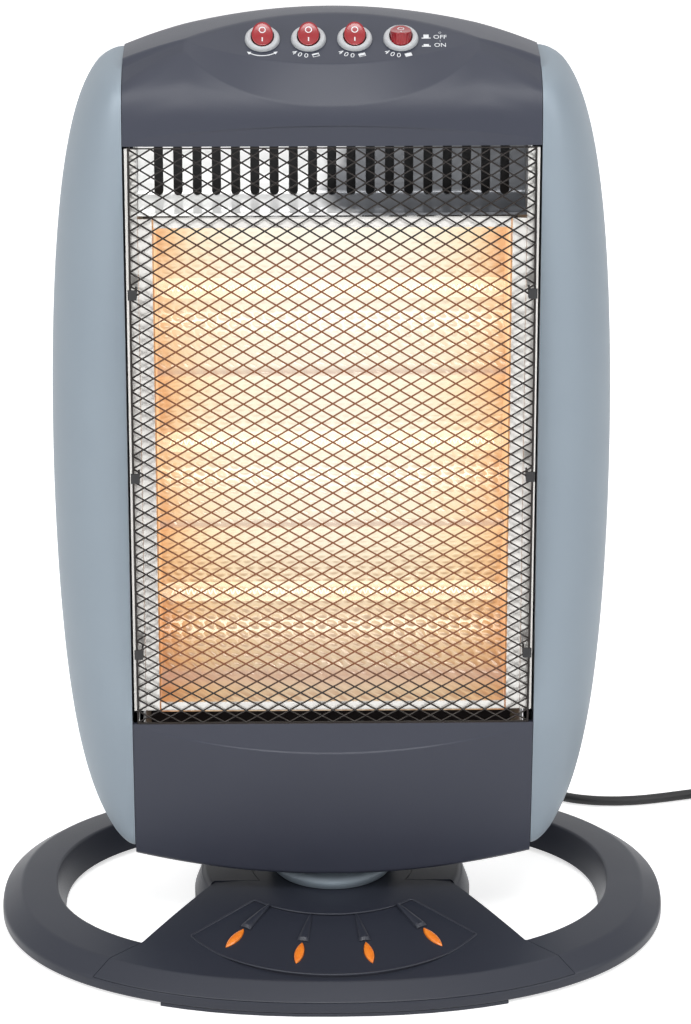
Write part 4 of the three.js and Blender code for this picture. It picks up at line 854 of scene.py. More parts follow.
# %% A tree that cuts a row of rounded slots
def build_slot_tree(material):
    sizes = {"Count": 11, "Pitch": 0.014, "Width": 0.005, "Bottom": 0.1, "Top": 0.13}
    tree, given = new_tree("row of slots", sizes | {"Y": 0.05, "Depth": 0.04})
    half = maths(tree, "MULTIPLY", given["Width"], 0.5)
    low = maths(tree, "ADD", given["Bottom"], half)
    high = maths(tree, "SUBTRACT", given["Top"], half)
    length = maths(tree, "SUBTRACT", high, low)
    middle = maths(tree, "MULTIPLY", maths(tree, "ADD", high, low), 0.5)
    size = vector_of(tree, given["Width"], given["Depth"], length)
    bar = add_node(tree, "GeometryNodeMeshCube", {"Size": size})
    parts = [bar.outputs["Mesh"]]
    for sign in (-0.5, 0.5):
        end = add_node(tree, "GeometryNodeMeshCylinder", {"Vertices": 24, "Radius": half})
        tree.links.new(given["Depth"], end.inputs["Depth"])
        place = vector_of(tree, 0.0, 0.0, maths(tree, "MULTIPLY", length, sign))
        turned = add_node(tree, "GeometryNodeTransform", {
            0: end.outputs["Mesh"], "Translation": place, "Rotation": (math.pi / 2, 0, 0),
        })
        parts.append(turned.outputs[0])
    count_less = maths(tree, "SUBTRACT", given["Count"], 1.0)
    first = maths(tree, "MULTIPLY", maths(tree, "MULTIPLY", count_less, given["Pitch"]), -0.5)
    line = add_node(tree, "GeometryNodeMeshLine", {
        "Count": given["Count"], "Start Location": vector_of(tree, first, given["Y"], middle),
        "Offset": vector_of(tree, given["Pitch"], 0.0, 0.0),
    })
    cut = given["Geometry"]
    for part in parts:
        row = add_node(tree, "GeometryNodeInstanceOnPoints", {
            "Points": line.outputs[0], "Instance": part,
        })
        real = add_node(tree, "GeometryNodeRealizeInstances", {0: row.outputs[0]})
        boolean = add_node(tree, "GeometryNodeMeshBoolean", operation="DIFFERENCE", solver="EXACT")
        tree.links.new(cut, boolean.inputs[0])
        tree.links.new(real.outputs[0], boolean.inputs[1])
        cut = boolean.outputs[0]
    close_tree(tree, cut, material)
    return tree


slot_tree = build_slot_tree(slate)
BACK_ROWS = [(95, 132), (376, 420)]
BACK_LEVELS = (LOWER_BACK_TOP + GAP, UPPER_BOTTOM - GAP)
outer = [(x, back_y(x)) for x in [HALF_BODY * (k / 24 - 1) for k in range(49)]]
inner = offset_path(outer, WALL)
cover = mesh_of("back_sheet", plate(
    [[(x, y, z) for x, y in outer] for z in BACK_LEVELS],
    [[(x, y, z) for x, y in inner] for z in BACK_LEVELS],
))
for low, high in BACK_ROWS:
    cover = grown("back_sheet", slot_tree, {"Bottom": low * MM, "Top": high * MM}, cover)
finish_piece("back_sheet", cover, "head", slate, ["back_cover"], 24)
print("back cover faces:", len(cover.polygons))

# %% [markdown]
# ## Base
# The base is an oval ring, a little squarer than an ellipse, with a hub that bridges it from
# front to back. A profile of (inset, height) points is carried round the oval. The hub is
# joined to it, and the fan cover's seat is cut out with a hair's breadth all round.

# %% The oval and its sweeps
BASE_WIDTH, BASE_DEPTH, BASE_POWER = 350, 248, 2.25
OVAL_STEPS = 224
RIM_BOTTOM, RIM_WALL_TOP = 2.1, 7.7
CREASE_INSET, CREASE_TOP = 10.3, 15.3
BAND_INSET, BAND_TOP = 29, 18
RIM_FOOT_INSET = 33.5
HUB_TOP, FAN_TOP, FAN_FLAT_RADIUS = 12, 25, 60
DRUM_FOOT_RADIUS, DRUM_TOP_RADIUS = 73, 69
SPINDLE_RADIUS, SPINDLE_BORE = 30, 30.6
WEB_HALF_WIDTH = 60


def oval_point(inset, step, height):
    angle = 2 * math.pi * step / OVAL_STEPS
    bend = lambda value: math.copysign(abs(value) ** (2 / BASE_POWER), value)
    x = (BASE_WIDTH / 2 - inset) * bend(math.cos(angle))
    return (x, (BASE_DEPTH / 2 - inset) * bend(math.sin(angle)), height)


def oval_sweep(profile):
    rings = [[oval_point(inset, k, h) for k in range(OVAL_STEPS)] for inset, h in profile]
    return stack(rings, around=True)


def domed_base(skin):
    """The base filled up to the fan cover's surface, drawn in by a skin."""
    columns = []
    for k in range(OVAL_STEPS):
        angle = 2 * math.pi * k / OVAL_STEPS
        flat_x, flat_y = FAN_FLAT_RADIUS * math.cos(angle), FAN_FLAT_RADIUS * math.sin(angle)
        flat = (flat_x, flat_y, FAN_TOP - skin)
        inner = (flat_x * 0.5, flat_y * 0.5, FAN_TOP - skin)
        wall_top = oval_point(skin, k, RIM_WALL_TOP - 0.45 * skin)
        crease = oval_point(CREASE_INSET + 0.45 * skin, k, CREASE_TOP - 1.05 * skin)
        band = oval_point(BAND_INSET, k, BAND_TOP - 1.05 * skin)
        path = [oval_point(skin, k, 0), wall_top, crease, band, flat, inner]
        columns.append(rounded(path, [1.4, 1.2, 6, 16], 5))
    return stack([list(ring) for ring in zip(*columns)])


def rear_edge(inset, x):
    share = abs(x) / (BASE_WIDTH / 2 - inset)
    return (BASE_DEPTH / 2 - inset) * (1 - share**BASE_POWER) ** (1 / BASE_POWER)


def mirrored(outline):
    return [(-x, y) for x, y in reversed(outline)]


print("oval steps:", OVAL_STEPS)

# %% Outlines of the fan cover and of the hub, in plan
FAN_INNER_RADIUS = 43
FAN_ROOT, FAN_MIDDLE, FAN_CORNER = (62, -20), (80.9, -47.9), (98.8, -74.8)
FAN_REACH = 1.32
HUB_FRONT_REACH, HUB_FRONT_HALF_WIDTH, HUB_FRONT_INSET = 1.12, 30, 14
MOTOR_WELL_RADIUS, MOTOR_WELL_Y = 25.3, 12


def fan_outline():
    """Anticlockwise: out on the right, across the front, back on the left, round the turntable."""
    reach = math.degrees(math.asin(FAN_ROOT[1] / FAN_INNER_RADIUS))
    collar = arc(FAN_INNER_RADIUS, -180 - reach, -360 + reach, 60)
    end = (FAN_CORNER[0] * FAN_REACH, FAN_CORNER[1] * FAN_REACH)
    right = [FAN_ROOT, FAN_MIDDLE, FAN_CORNER, end]
    outline = collar + right + [(end[0], -BASE_DEPTH), (-end[0], -BASE_DEPTH)] + mirrored(right)
    return outline[::-1]


def area_of(outline):
    pairs = zip(outline, outline[1:] + outline[:1])
    return sum(a[0] * b[1] - b[0] * a[1] for a, b in pairs) / 2


def hub_outline():
    web_end = rear_edge(CREASE_INSET + WALL, WEB_HALF_WIDTH)
    front_end = (FAN_CORNER[0] * HUB_FRONT_REACH, FAN_CORNER[1] * HUB_FRONT_REACH)
    nose_y = HUB_FRONT_INSET - BASE_DEPTH / 2
    right = [(HUB_FRONT_HALF_WIDTH, nose_y), front_end, FAN_CORNER]
    right += [*arc(DRUM_FOOT_RADIUS, -36, 36, 40), (WEB_HALF_WIDTH, web_end)]
    return [(-HUB_FRONT_HALF_WIDTH, nose_y), *right, *mirrored(right[1:])]


fan = fan_outline()
fan = fan if area_of(fan) > 0 else fan[::-1]
hub = hub_outline()
print("fan and hub outlines:", len(fan), "and", len(hub), "points")


# %% Ring with its hub
def fan_seat():
    """What is cut away so that the fan cover drops in with a gap all round."""
    return prism(inset_outline(fan, -GAP), RIM_WALL_TOP, FAN_TOP + 5)


def base_ring_mesh():
    outer = rounded([
        (0.5, RIM_BOTTOM), (0, RIM_BOTTOM + 0.6), (0, RIM_WALL_TOP), (CREASE_INSET, CREASE_TOP),
        (BAND_INSET, BAND_TOP), (RIM_FOOT_INSET, RIM_BOTTOM),
    ], [0.3, 1.6, 1.3, 1.4], 5)
    hollow = [
        (WALL, 0), (WALL, RIM_WALL_TOP - WALL * 0.45),
        (CREASE_INSET + WALL * 0.4, CREASE_TOP - WALL),
        (BAND_INSET - WALL * 0.3, BAND_TOP - WALL), (RIM_FOOT_INSET - WALL, 0),
    ]
    rim = combined("rim", mesh_of("rim", oval_sweep(outer)), cuts=[tool_mesh(fan_seat())])
    under_hub = prism(inset_outline(hub, WALL), 0, HUB_TOP - WALL)
    motor_well = moved(
        round_tool(MOTOR_WELL_RADIUS, 0, HUB_TOP + 1), Matrix.Translation((0, MOTOR_WELL_Y, 0))
    )
    return combined(
        "oval_ring", rim, adds=[tool_mesh(prism(hub, RIM_BOTTOM, HUB_TOP))],
        cuts=[tool_mesh(oval_sweep(hollow)), tool_mesh(under_hub), tool_mesh(motor_well)],
    )


oval_ring = finish_piece(
    "oval_ring", base_ring_mesh(), "base", base_slate, ["base_ring"], 30
)
print("ring faces:", len(oval_ring.data.polygons))

# %% [markdown]
# ## Fan cover
# The front of the base is covered by a fan-shaped moulding, domed from the ring up to the
# turntable. It has four slots for the lenses, a tapered ridge behind each, and a thin raised
# bead that follows its outline. The bead is grown along a line by a Geometry Nodes tree.

# %% Surface of the fan, lenses' places
LENS_ANGLES = [-33.75, -11.25, 11.25, 33.75]
LENS_RADIUS, LENS_LENGTH, LENS_WIDTH, LENS_PROUD = 92, 17, 4.8, 1.6
RIDGE_LENGTH, RIDGE_WIDTH, RIDGE_HEIGHT = 23, 5.6, 2.4
FAN_FALL = (FAN_TOP - BAND_TOP) / (BASE_DEPTH / 2 - BAND_INSET - FAN_FLAT_RADIUS)


def fan_surface(x, y):
    angle = math.atan2(abs(y), abs(x))
    across = (math.cos(angle) / (BASE_WIDTH / 2 - BAND_INSET)) ** BASE_POWER
    along = (math.sin(angle) / (BASE_DEPTH / 2 - BAND_INSET)) ** BASE_POWER
    reach = (across + along) ** (-1 / BASE_POWER)
    share = (math.hypot(x, y) - FAN_FLAT_RADIUS) / (reach - FAN_FLAT_RADIUS)
    return FAN_TOP - (FAN_TOP - BAND_TOP) * min(max(share, 0), 1)


def lens_place(degrees):
    angle = math.radians(degrees)
    height = fan_surface(LENS_RADIUS * math.sin(angle), -LENS_RADIUS * math.cos(angle))
    turn = Matrix.Rotation(angle, 4, "Z") @ Matrix.Translation((0, -LENS_RADIUS, height))
    return turn @ Matrix.Rotation(math.atan(FAN_FALL), 4, "X")


def lens_outline(grow, share=1.0, steps=16):
    length, width = (LENS_LENGTH / 2 + grow) * share, (LENS_WIDTH / 2 + grow) * share
    along = [math.sin(math.pi / 2 * (2 * k / steps - 1)) for k in range(steps + 1)]
    side = [(width * (1 - t * t) ** 0.9, length * t) for t in along]
    return side[:-1] + [(-x, y) for x, y in side[:0:-1]]


def ridge_shape(degrees):
    """A tapered rib, round on top, from behind the lens towards the turntable."""
    outer = LENS_LENGTH / 2 + 1.2
    rings = []
    for k in range(17):
        share = k / 16
        half = RIDGE_WIDTH / 2 * (1 - share) ** 0.8 + 0.35
        height = RIDGE_HEIGHT * (1 - share) ** 0.7 * min(1, 0.35 + share * 9) + 0.05
        y = outer + RIDGE_LENGTH * share
        turns = [math.pi * j / 12 for j in range(13)]
        top = [(-half * math.cos(turn), y, height * math.sin(turn)) for turn in turns]
        rings.append([*top, (half, y, -1.2), (-half, y, -1.2)])
    return moved(stack(rings), lens_place(degrees))


def slot_shape(degrees):
    return moved(prism(lens_outline(GAP), -6, 4), lens_place(degrees))


print("lens places:", [tuple(round(v) for v in lens_place(a).translation) for a in LENS_ANGLES])


# %% Fan cover, with ridges and slots
def fan_cover_mesh():
    over = FAN_TOP + 1
    within = tool_mesh(prism(inset_outline(fan, WALL), -1, over))
    under = combined("under", mesh_of("under", domed_base(WALL)), keeps=[within])
    bore = round_tool(SPINDLE_BORE, 0, over, 96)
    hub_below = prism(inset_outline(hub, -GAP), 0, HUB_TOP + GAP)
    ring_below = prism(inset_outline(fan, -5), -1, RIM_WALL_TOP + GAP)
    skin = combined(
        "skin", mesh_of("skin", domed_base(0)), keeps=[tool_mesh(prism(fan, 0, over))],
        cuts=[under, tool_mesh(bore), tool_mesh(hub_below), tool_mesh(ring_below)],
    )
    return combined(
        "fan_cover", skin, adds=[tool_mesh(ridge_shape(a)) for a in LENS_ANGLES],
        cuts=[tool_mesh(slot_shape(a)) for a in LENS_ANGLES],
    )


fan_cover = finish_piece(
    "fan_cover", fan_cover_mesh(), "base", base_slate, ["fan_panel"], 30
)
print("fan cover faces:", len(fan_cover.data.polygons))


# %% A tree that grows a round bead along the lines of a mesh
def build_bead_tree(material):
    tree, given = new_tree("round bead", {"Radius": 0.0005, "Sides": 8})
    line = add_node(tree, "GeometryNodeMeshToCurve", {"Mesh": given["Geometry"]})
    tube = tube_along(tree, line.outputs[0], given["Radius"], given["Sides"])
    close_tree(tree, tube.outputs[0], material)
    return tree


def closed_line_mesh(name, line):
    """A closed line of points as a mesh of edges only."""
    edges = [(k, (k + 1) % len(line)) for k in range(len(line))]
    mesh = bpy.data.meshes.new(name)
    mesh.from_pydata([Vector(p) * MM for p in line], edges, [])
    return mesh


BEAD_RADIUS, BEAD_CORNER = 0.0006, 5.0
BEAD_OUTER_ARC, BEAD_OUTER_Y, BEAD_INNER_ARC = (88.5, -146.7, -33.3, 48), -23.5, (59, -46, -134, 28)


def bead_line():
    """A fan inside the fan: an outer arc, straight sides and an inner arc with soft corners."""
    outer = [(x, y + BEAD_OUTER_Y) for x, y in arc(*BEAD_OUTER_ARC)]
    corners = outer + arc(*BEAD_INNER_ARC)
    kept = []
    for before, corner, after in zip(corners[-1:] + corners, corners, corners[1:] + corners[:1]):
        kept += rounded([before, corner, after], [BEAD_CORNER], 4)[1:-1]
    return [(x, y, fan_surface(x, y) + 0.1) for x, y in kept]


bead_tree = build_bead_tree(base_slate)
bead = grown("fan_bead", bead_tree, {"Radius": BEAD_RADIUS}, closed_line_mesh("bead", bead_line()))
finish_piece("fan_bead", bead, "base", base_slate, (), 60)
print("bead faces:", len(bead.polygons))

# %% [markdown]
# ## Lenses, drum and turntable
# The four lenses are crowned leaves of orange plastic with a faint painted glow. The drum under the
# turntable and the turntable itself are turned profiles with softly rounded edges.

# %% Material of the orange lenses, with a faint painted glow
def ramp_of(tree, value, stops):
    """A colour ramp with (position, colour) stops."""
    ramp = add_node(tree, "ShaderNodeValToRGB", {"Fac": value})
    elements = ramp.color_ramp.elements
    while len(elements) < len(stops):
        elements.new(0.5)
    for element, (position, colour) in zip(elements, stops):
        element.position = position
        element.color = colour
    return ramp.outputs["Color"]


def orange_with_painted_glow():
    material, tree, shader = new_material("orange plastic with painted glow")
    cloud = cloud_at(tree, object_place(tree), 320.0)
    tint = ramp_of(tree, cloud, [(0.0, srgb(226, 104, 22)), (1.0, srgb(246, 148, 44))])
    tree.links.new(tint, shader.inputs["Base Color"])
    # Painted glow: the lens colour is given out as a faint light of its own.
    tree.links.new(tint, shader.inputs["Emission Color"])
    set_plain(shader, Emission_Strength=0.12, Roughness=0.22, Coat_Weight=0.5)
    return material


orange = orange_with_painted_glow()
print("material:", orange.name)

# %% Orange lenses
LEAF_SECTIONS = [
    (1, -WALL), (1, 0.45), (0.97, 0.75), (0.86, 1.05), (0.68, 1.3), (0.42, 1.5), (0.12, LENS_PROUD)
]
for number, degrees in enumerate(LENS_ANGLES, 1):
    rings = []
    for share, height in LEAF_SECTIONS:
        rings.append([(x, y, height) for x, y in lens_outline(0, share, 20)])
    shape = moved(stack(rings), lens_place(degrees))
    lens = finish_piece(
        f"orange_leaf_{number}", mesh_of("leaf", shape), "base", orange,
        [f"accent_lens_{number}"], 50,
    )
print("lens faces:", len(lens.data.polygons))


# %% Drum and turntable
TURNTABLE_LOW, TURNTABLE_TOP = 19.4, 63.7
NECK_BORE, NECK_RADIUS, NECK_FLANGE_RADIUS = 24, 28, 33
DISC_PROFILE = [(31.4, 0), (32.8, 2.45), (33.2, 4.2), (31.7, 7)]
DISC_HEIGHT = 8.5


def drum_mesh():
    top = rounded([
        (SPINDLE_BORE, FAN_TOP - WALL), (SPINDLE_BORE, FAN_TOP), (DRUM_TOP_RADIUS - 1.8, FAN_TOP),
        (DRUM_TOP_RADIUS, FAN_TOP - 1.8),
        (DRUM_FOOT_RADIUS, HUB_TOP + GAP), (DRUM_FOOT_RADIUS - WALL, HUB_TOP + GAP),
        (DRUM_TOP_RADIUS - WALL, FAN_TOP - WALL),
    ], [0.5, 1.0, 1.0, 0.4, 0.4], 4)
    drum = mesh_of("drum", lathe(top, 128, closed=True))
    return combined("drum", drum, cuts=[tool_mesh(fan_seat())])


def turntable_shape():
    disc_low = FAN_TOP + GAP
    profile = [
        (NECK_BORE, TURNTABLE_LOW), (SPINDLE_RADIUS, TURNTABLE_LOW), (SPINDLE_RADIUS, disc_low),
        *[(radius, disc_low + height) for radius, height in DISC_PROFILE],
        (NECK_RADIUS, disc_low + DISC_HEIGHT), (NECK_RADIUS, TURNTABLE_TOP - 5),
        (NECK_FLANGE_RADIUS, TURNTABLE_TOP - 2.5), (NECK_FLANGE_RADIUS, TURNTABLE_TOP),
        (NECK_BORE, TURNTABLE_TOP),
    ]
    reaches = [0.3, 0.3, 0.5, 0.8, 1.4, 1.8, 1.6, 1.2, 0.8, 0.3]
    return lathe(rounded(profile, reaches, 5), 96, closed=True)


finish_piece("drum", drum_mesh(), "base", base_slate, ["pedestal_drum"], 30)
turntable_mesh = mesh_of("turned_neck", turntable_shape())
finish_piece("turned_neck", turntable_mesh, "head", silver_blue, ["turntable"], 30)
print("turntable faces:", len(turntable_mesh.polygons))

# %% [markdown]
# ## Grille
# The grille is expanded metal: level zigzag strands, each turned over against the next, so that
# they meet in knots and leave diamonds. A Geometry Nodes tree draws one zigzag along a line,
# repeats it up the front, turns every second one over, and then bends the whole net to the
# front's bow. The net's own edge is hemmed with a thin wire and held by six dark clips.

# %% Wire with a painted glow where it stands before the lit reflector
LIT_HALF_WIDTH, LIT_LOW, LIT_HIGH = 0.084, 0.16, 0.388


def spread_over(tree, value, low, high, at_low, at_high):
    """A value between low and high turned into one between at_low and at_high."""
    inputs = {0: value, 1: low, 2: high, 3: at_low, 4: at_high}
    return add_node(tree, "ShaderNodeMapRange", inputs).outputs[0]


def mask_between(tree, value, low, high, soft):
    """One where a value lies between two others, falling to nought over a soft edge."""
    rise = spread_over(tree, value, low - soft, low + soft, 0.0, 1.0)
    fall = spread_over(tree, value, high - soft, high + soft, 1.0, 0.0)
    return maths(tree, "MULTIPLY", rise, fall)


def axes_of(tree, vector):
    return add_node(tree, "ShaderNodeSeparateXYZ", {0: vector}).outputs


def wire_with_painted_glow():
    material = dark_wire.copy()
    material.name = "dark wire with painted glow"
    tree = material.node_tree
    shader = tree.nodes["Principled BSDF"]
    axes = axes_of(tree, object_place(tree))
    across = mask_between(tree, axes["X"], -LIT_HALF_WIDTH, LIT_HALF_WIDTH, 0.006)
    upward = mask_between(tree, axes["Z"], LIT_LOW, LIT_HIGH, 0.008)
    painted_glow_mask = maths(tree, "MULTIPLY", across, upward)
    # Painted glow: the strands before the reflector give out an orange light of their own, as
    # emission.
    tint = ramp_of(tree, painted_glow_mask, [(0.0, (0, 0, 0, 1)), (1.0, srgb(196, 112, 52))])
    tree.links.new(tint, shader.inputs["Emission Color"])
    set_plain(shader, Emission_Strength=0.4)
    return material


painted_glow_wire = wire_with_painted_glow()
print("material:", painted_glow_wire.name)


# %% Tree of the net
def build_net_tree(material):
    sizes = {"Half Cells": 36, "Rows": 90, "Half Width": 0.0998, "Low": 0.1322, "High": 0.4388,
             "Strand Radius": 0.00048, "Front Y": -0.0588, "Bow Middle": 0.27, "Bow Radius": 1.3}
    tree, given = new_tree("expanded metal net", sizes)
    width = maths(tree, "MULTIPLY", given["Half Width"], 2.0)
    step_x = maths(tree, "DIVIDE", width, given["Half Cells"])
    height = maths(tree, "SUBTRACT", given["High"], given["Low"])
    step_z = maths(tree, "DIVIDE", height, given["Rows"])
    line = add_node(tree, "GeometryNodeMeshLine", {
        "Count": maths(tree, "ADD", given["Half Cells"], 1.0),
        "Start Location": vector_of(tree, maths(tree, "MULTIPLY", given["Half Width"], -1.0)),
        "Offset": vector_of(tree, step_x),
    })
    index = add_node(tree, "GeometryNodeInputIndex").outputs[0]
    odd = maths(tree, "MODULO", index, 2.0)
    up_or_down = maths(tree, "SUBTRACT", maths(tree, "MULTIPLY", odd, 2.0), 1.0)
    rise = maths(tree, "MULTIPLY", maths(tree, "MULTIPLY", up_or_down, step_z), 0.5)
    zigzag = add_node(tree, "GeometryNodeSetPosition", {
        "Geometry": line.outputs[0], "Offset": vector_of(tree, 0.0, 0.0, rise),
    })
    curve = add_node(tree, "GeometryNodeMeshToCurve", {"Mesh": zigzag.outputs[0]})
    strand = tube_along(tree, curve.outputs[0], given["Strand Radius"], 6)
    first_row = maths(tree, "ADD", given["Low"], maths(tree, "MULTIPLY", step_z, 0.5))
    column = add_node(tree, "GeometryNodeMeshLine", {
        "Count": given["Rows"],
        "Start Location": vector_of(tree, 0.0, 0.0, first_row),
        "Offset": vector_of(tree, 0.0, 0.0, step_z),
    })
    row = add_node(tree, "GeometryNodeInputIndex").outputs[0]
    turn = maths(tree, "MULTIPLY", maths(tree, "MODULO", row, 2.0), math.pi)
    rows = add_node(tree, "GeometryNodeInstanceOnPoints", {
        "Points": column.outputs[0], "Instance": strand.outputs[0],
        "Rotation": vector_of(tree, 0.0, turn, 0.0),
    })
    real = add_node(tree, "GeometryNodeRealizeInstances", {0: rows.outputs[0]})
    axes = axes_of(tree, add_node(tree, "GeometryNodeInputPosition").outputs[0])
    above = maths(tree, "SUBTRACT", axes["Z"], given["Bow Middle"])
    squared = maths(tree, "MULTIPLY", above, above)
    bow = maths(tree, "DIVIDE", squared, maths(tree, "MULTIPLY", given["Bow Radius"], 2.0))
    forward = maths(tree, "ADD", bow, given["Front Y"])
    bent = add_node(tree, "GeometryNodeSetPosition", {
        "Geometry": real.outputs[0], "Offset": vector_of(tree, 0.0, forward, 0.0),
    })
    close_tree(tree, bent.outputs[0], material)
    return tree


net_tree = build_net_tree(painted_glow_wire)
net = grown("expanded_net", net_tree, {})
print("net faces:", len(net.polygons))

# %% Net, hem and clips
GRILLE_LOW, GRILLE_HIGH, GRILLE_HALF_WIDTH = LOWER_TOP + GAP, UPPER_BOTTOM - GAP, 100.3
GRILLE_FRONT = 3.2
HEM_RADIUS, HEM_INSET = 0.00055, 0.6
CLIP_LEVELS = (172, 270, 366)


def net_y(z):
    return front_y(0, z) + GRILLE_FRONT


def hem_line():
    low, height = GRILLE_LOW + HEM_INSET, GRILLE_HIGH - GRILLE_LOW - 2 * HEM_INSET
    levels = [low + height * k / 24 for k in range(25)]
    right = [(GRILLE_HALF_WIDTH - HEM_INSET, net_y(z), z) for z in levels]
    return right + [(-x, y, z) for x, y, z in reversed(right)]


def tab(centre, size):
    """A small block with softened edges."""
    x, y, z = (c / 2 for c in size)
    soft = 0.25 * min(x, y, z)
    corners = [(-x, -y), (x, -y), (x, y), (-x, y)]
    around = corners + corners[:2]
    ring = rounded(around, [soft] * 4, 3)[1:-1]
    inset = [(a * (1 - soft / x), b * (1 - soft / y)) for a, b in ring]
    rings = [[(a, b, -z) for a, b in inset], [(a, b, soft - z) for a, b in ring],
             [(a, b, z - soft) for a, b in ring], [(a, b, z) for a, b in inset]]
    return moved(stack(rings), Matrix.Translation(centre))


def clip_shape(side, z):
    """A spring clip that folds over the hem: a strap across it, and an ear behind."""
    x = side * (GRILLE_HALF_WIDTH - 1.6)
    strap = tab((x, net_y(z) - 0.3, z), (4.4, 1.0, 5.2))
    ear = tab((side * (GRILLE_HALF_WIDTH - 3.4), net_y(z) + 3.4, z), (1.0, 6.6, 4.4))
    return merged(strap, ear)


def turned_edge(side):
    """The narrow edge of the net, bent back along one side."""
    near, far = side * (GRILLE_HALF_WIDTH - 0.9), side * (GRILLE_HALF_WIDTH - 0.1)
    rings = []
    for k in range(13):
        z = GRILLE_LOW + (GRILLE_HIGH - GRILLE_LOW) * k / 12
        front, back = net_y(z) + 0.2, net_y(z) + 8.2
        rings.append([(near, front, z), (far, front, z), (far, back, z), (near, back, z)])
    return stack(rings)


hem = grown("hem", bead_tree, {"Radius": HEM_RADIUS}, closed_line_mesh("hem", hem_line()))
turns = mesh_of("turns", merged(turned_edge(1), turned_edge(-1)))
clips = mesh_of("clips", merged(*[clip_shape(side, z) for side in (1, -1) for z in CLIP_LEVELS]))
finish_piece("expanded_net", net, "head", painted_glow_wire, ["grille"], 60)
finish_piece("net_hem", hem, "head", painted_glow_wire, (), 60)
finish_piece("net_turned_edges", turns, "head", painted_glow_wire, (), 30)
finish_piece("net_clips", clips, "head", black_rubber, (), 30)
print("hem and clip faces:", len(hem.polygons), len(clips.polygons))

# %% [markdown]
# ## Glow
# The lamps are lit, and the reflector's shine is painted on its sheet as emission: a painted glow,
# bright cream in the middle, turning to peach and orange toward the ends and dimmer below the
# lowest lamp, where the small cushions of its stucco pattern can be told apart. The pattern is a
# group of value nodes: it gives the height of a cushion and a painted shade on the lower side of
# each cushion.

# %% Group: stucco cushions in staggered rows
def build_stucco_group():
    group, given = new_group(
        "stucco cushions", {"Vector": "Vector", "Width": 0.0058, "Height": 0.0037},
        {"Cushion": "Float", "Shade": "Float"},
    )
    warp = cloud_at(group, given["Vector"], 90.0, 1.0)
    axes = axes_of(group, given["Vector"])
    along = maths(group, "ADD", axes["X"], axes["Y"])
    drift = maths(group, "MULTIPLY", maths(group, "SUBTRACT", warp, 0.5), 0.004)
    row = maths(group, "DIVIDE", maths(group, "ADD", axes["Z"], drift), given["Height"])
    shift = maths(group, "MULTIPLY", maths(group, "MODULO", maths(group, "FLOOR", row), 2.0), 0.5)
    across = maths(group, "DIVIDE", maths(group, "ADD", along, drift), given["Width"])
    column = maths(group, "ADD", across, shift)
    off_x = maths(group, "SUBTRACT", maths(group, "FRACT", column), 0.5)
    off_z = maths(group, "SUBTRACT", maths(group, "FRACT", row), 0.5)
    squares = [maths(group, "MULTIPLY", off, off) for off in (off_x, off_z)]
    fall = maths(group, "MULTIPLY", maths(group, "ADD", *squares), 5.0)
    cushion = maths(group, "MAXIMUM", maths(group, "SUBTRACT", 1.0, fall), 0.0)
    # Painted shade: the lower side of each cushion gets a shade value.
    lower = maths(group, "MULTIPLY", maths(group, "SUBTRACT", 0.15, off_z), cushion)
    shade = spread_over(group, lower, 0.0, 0.45, 0.0, 1.0)
    add_node(group, "NodeGroupOutput", {"Cushion": cushion, "Shade": shade})
    return group


stucco_group = build_stucco_group()
print("group:", stucco_group.name)


# %% Material of the reflector, with its glow painted on as emission
GLOW_HALF_WIDTH, GLOW_FOOT, GLOW_HEIGHT, GLOW_PITCH = 0.088, 0.142, 0.25, 0.0833


def glow_of(tree, share, level, drift):
    """The painted glow: cream in the middle, orange at the ends, and dimmer at the foot."""
    hot = ramp_of(tree, maths(tree, "ADD", share, drift), [
        (0.0, srgb(255, 252, 240)), (0.5, srgb(255, 249, 229)), (0.76, srgb(255, 237, 204)),
        (0.92, srgb(248, 208, 162)), (1.0, srgb(234, 176, 126)),
    ])
    dim = ramp_of(tree, level, [
        (0.0, srgb(208, 188, 170)), (0.06, srgb(224, 200, 176)), (0.14, srgb(238, 218, 194)),
        (0.26, srgb(255, 250, 240)), (1.0, srgb(255, 255, 255)),
    ])
    return mixed(tree, 1.0, hot, dim, "MULTIPLY")


def ridge_lines(tree, height):
    """A value that rises along the ridges between two troughs, where the glow gets a painted darker
    line.
    """
    trough = maths(tree, "DIVIDE", height, GLOW_PITCH)
    nearest = maths(tree, "ROUND", trough)
    from_ridge = maths(tree, "ABSOLUTE", maths(tree, "SUBTRACT", trough, nearest))
    return spread_over(tree, from_ridge, 0.01, 0.035, 0.6, 0.0)


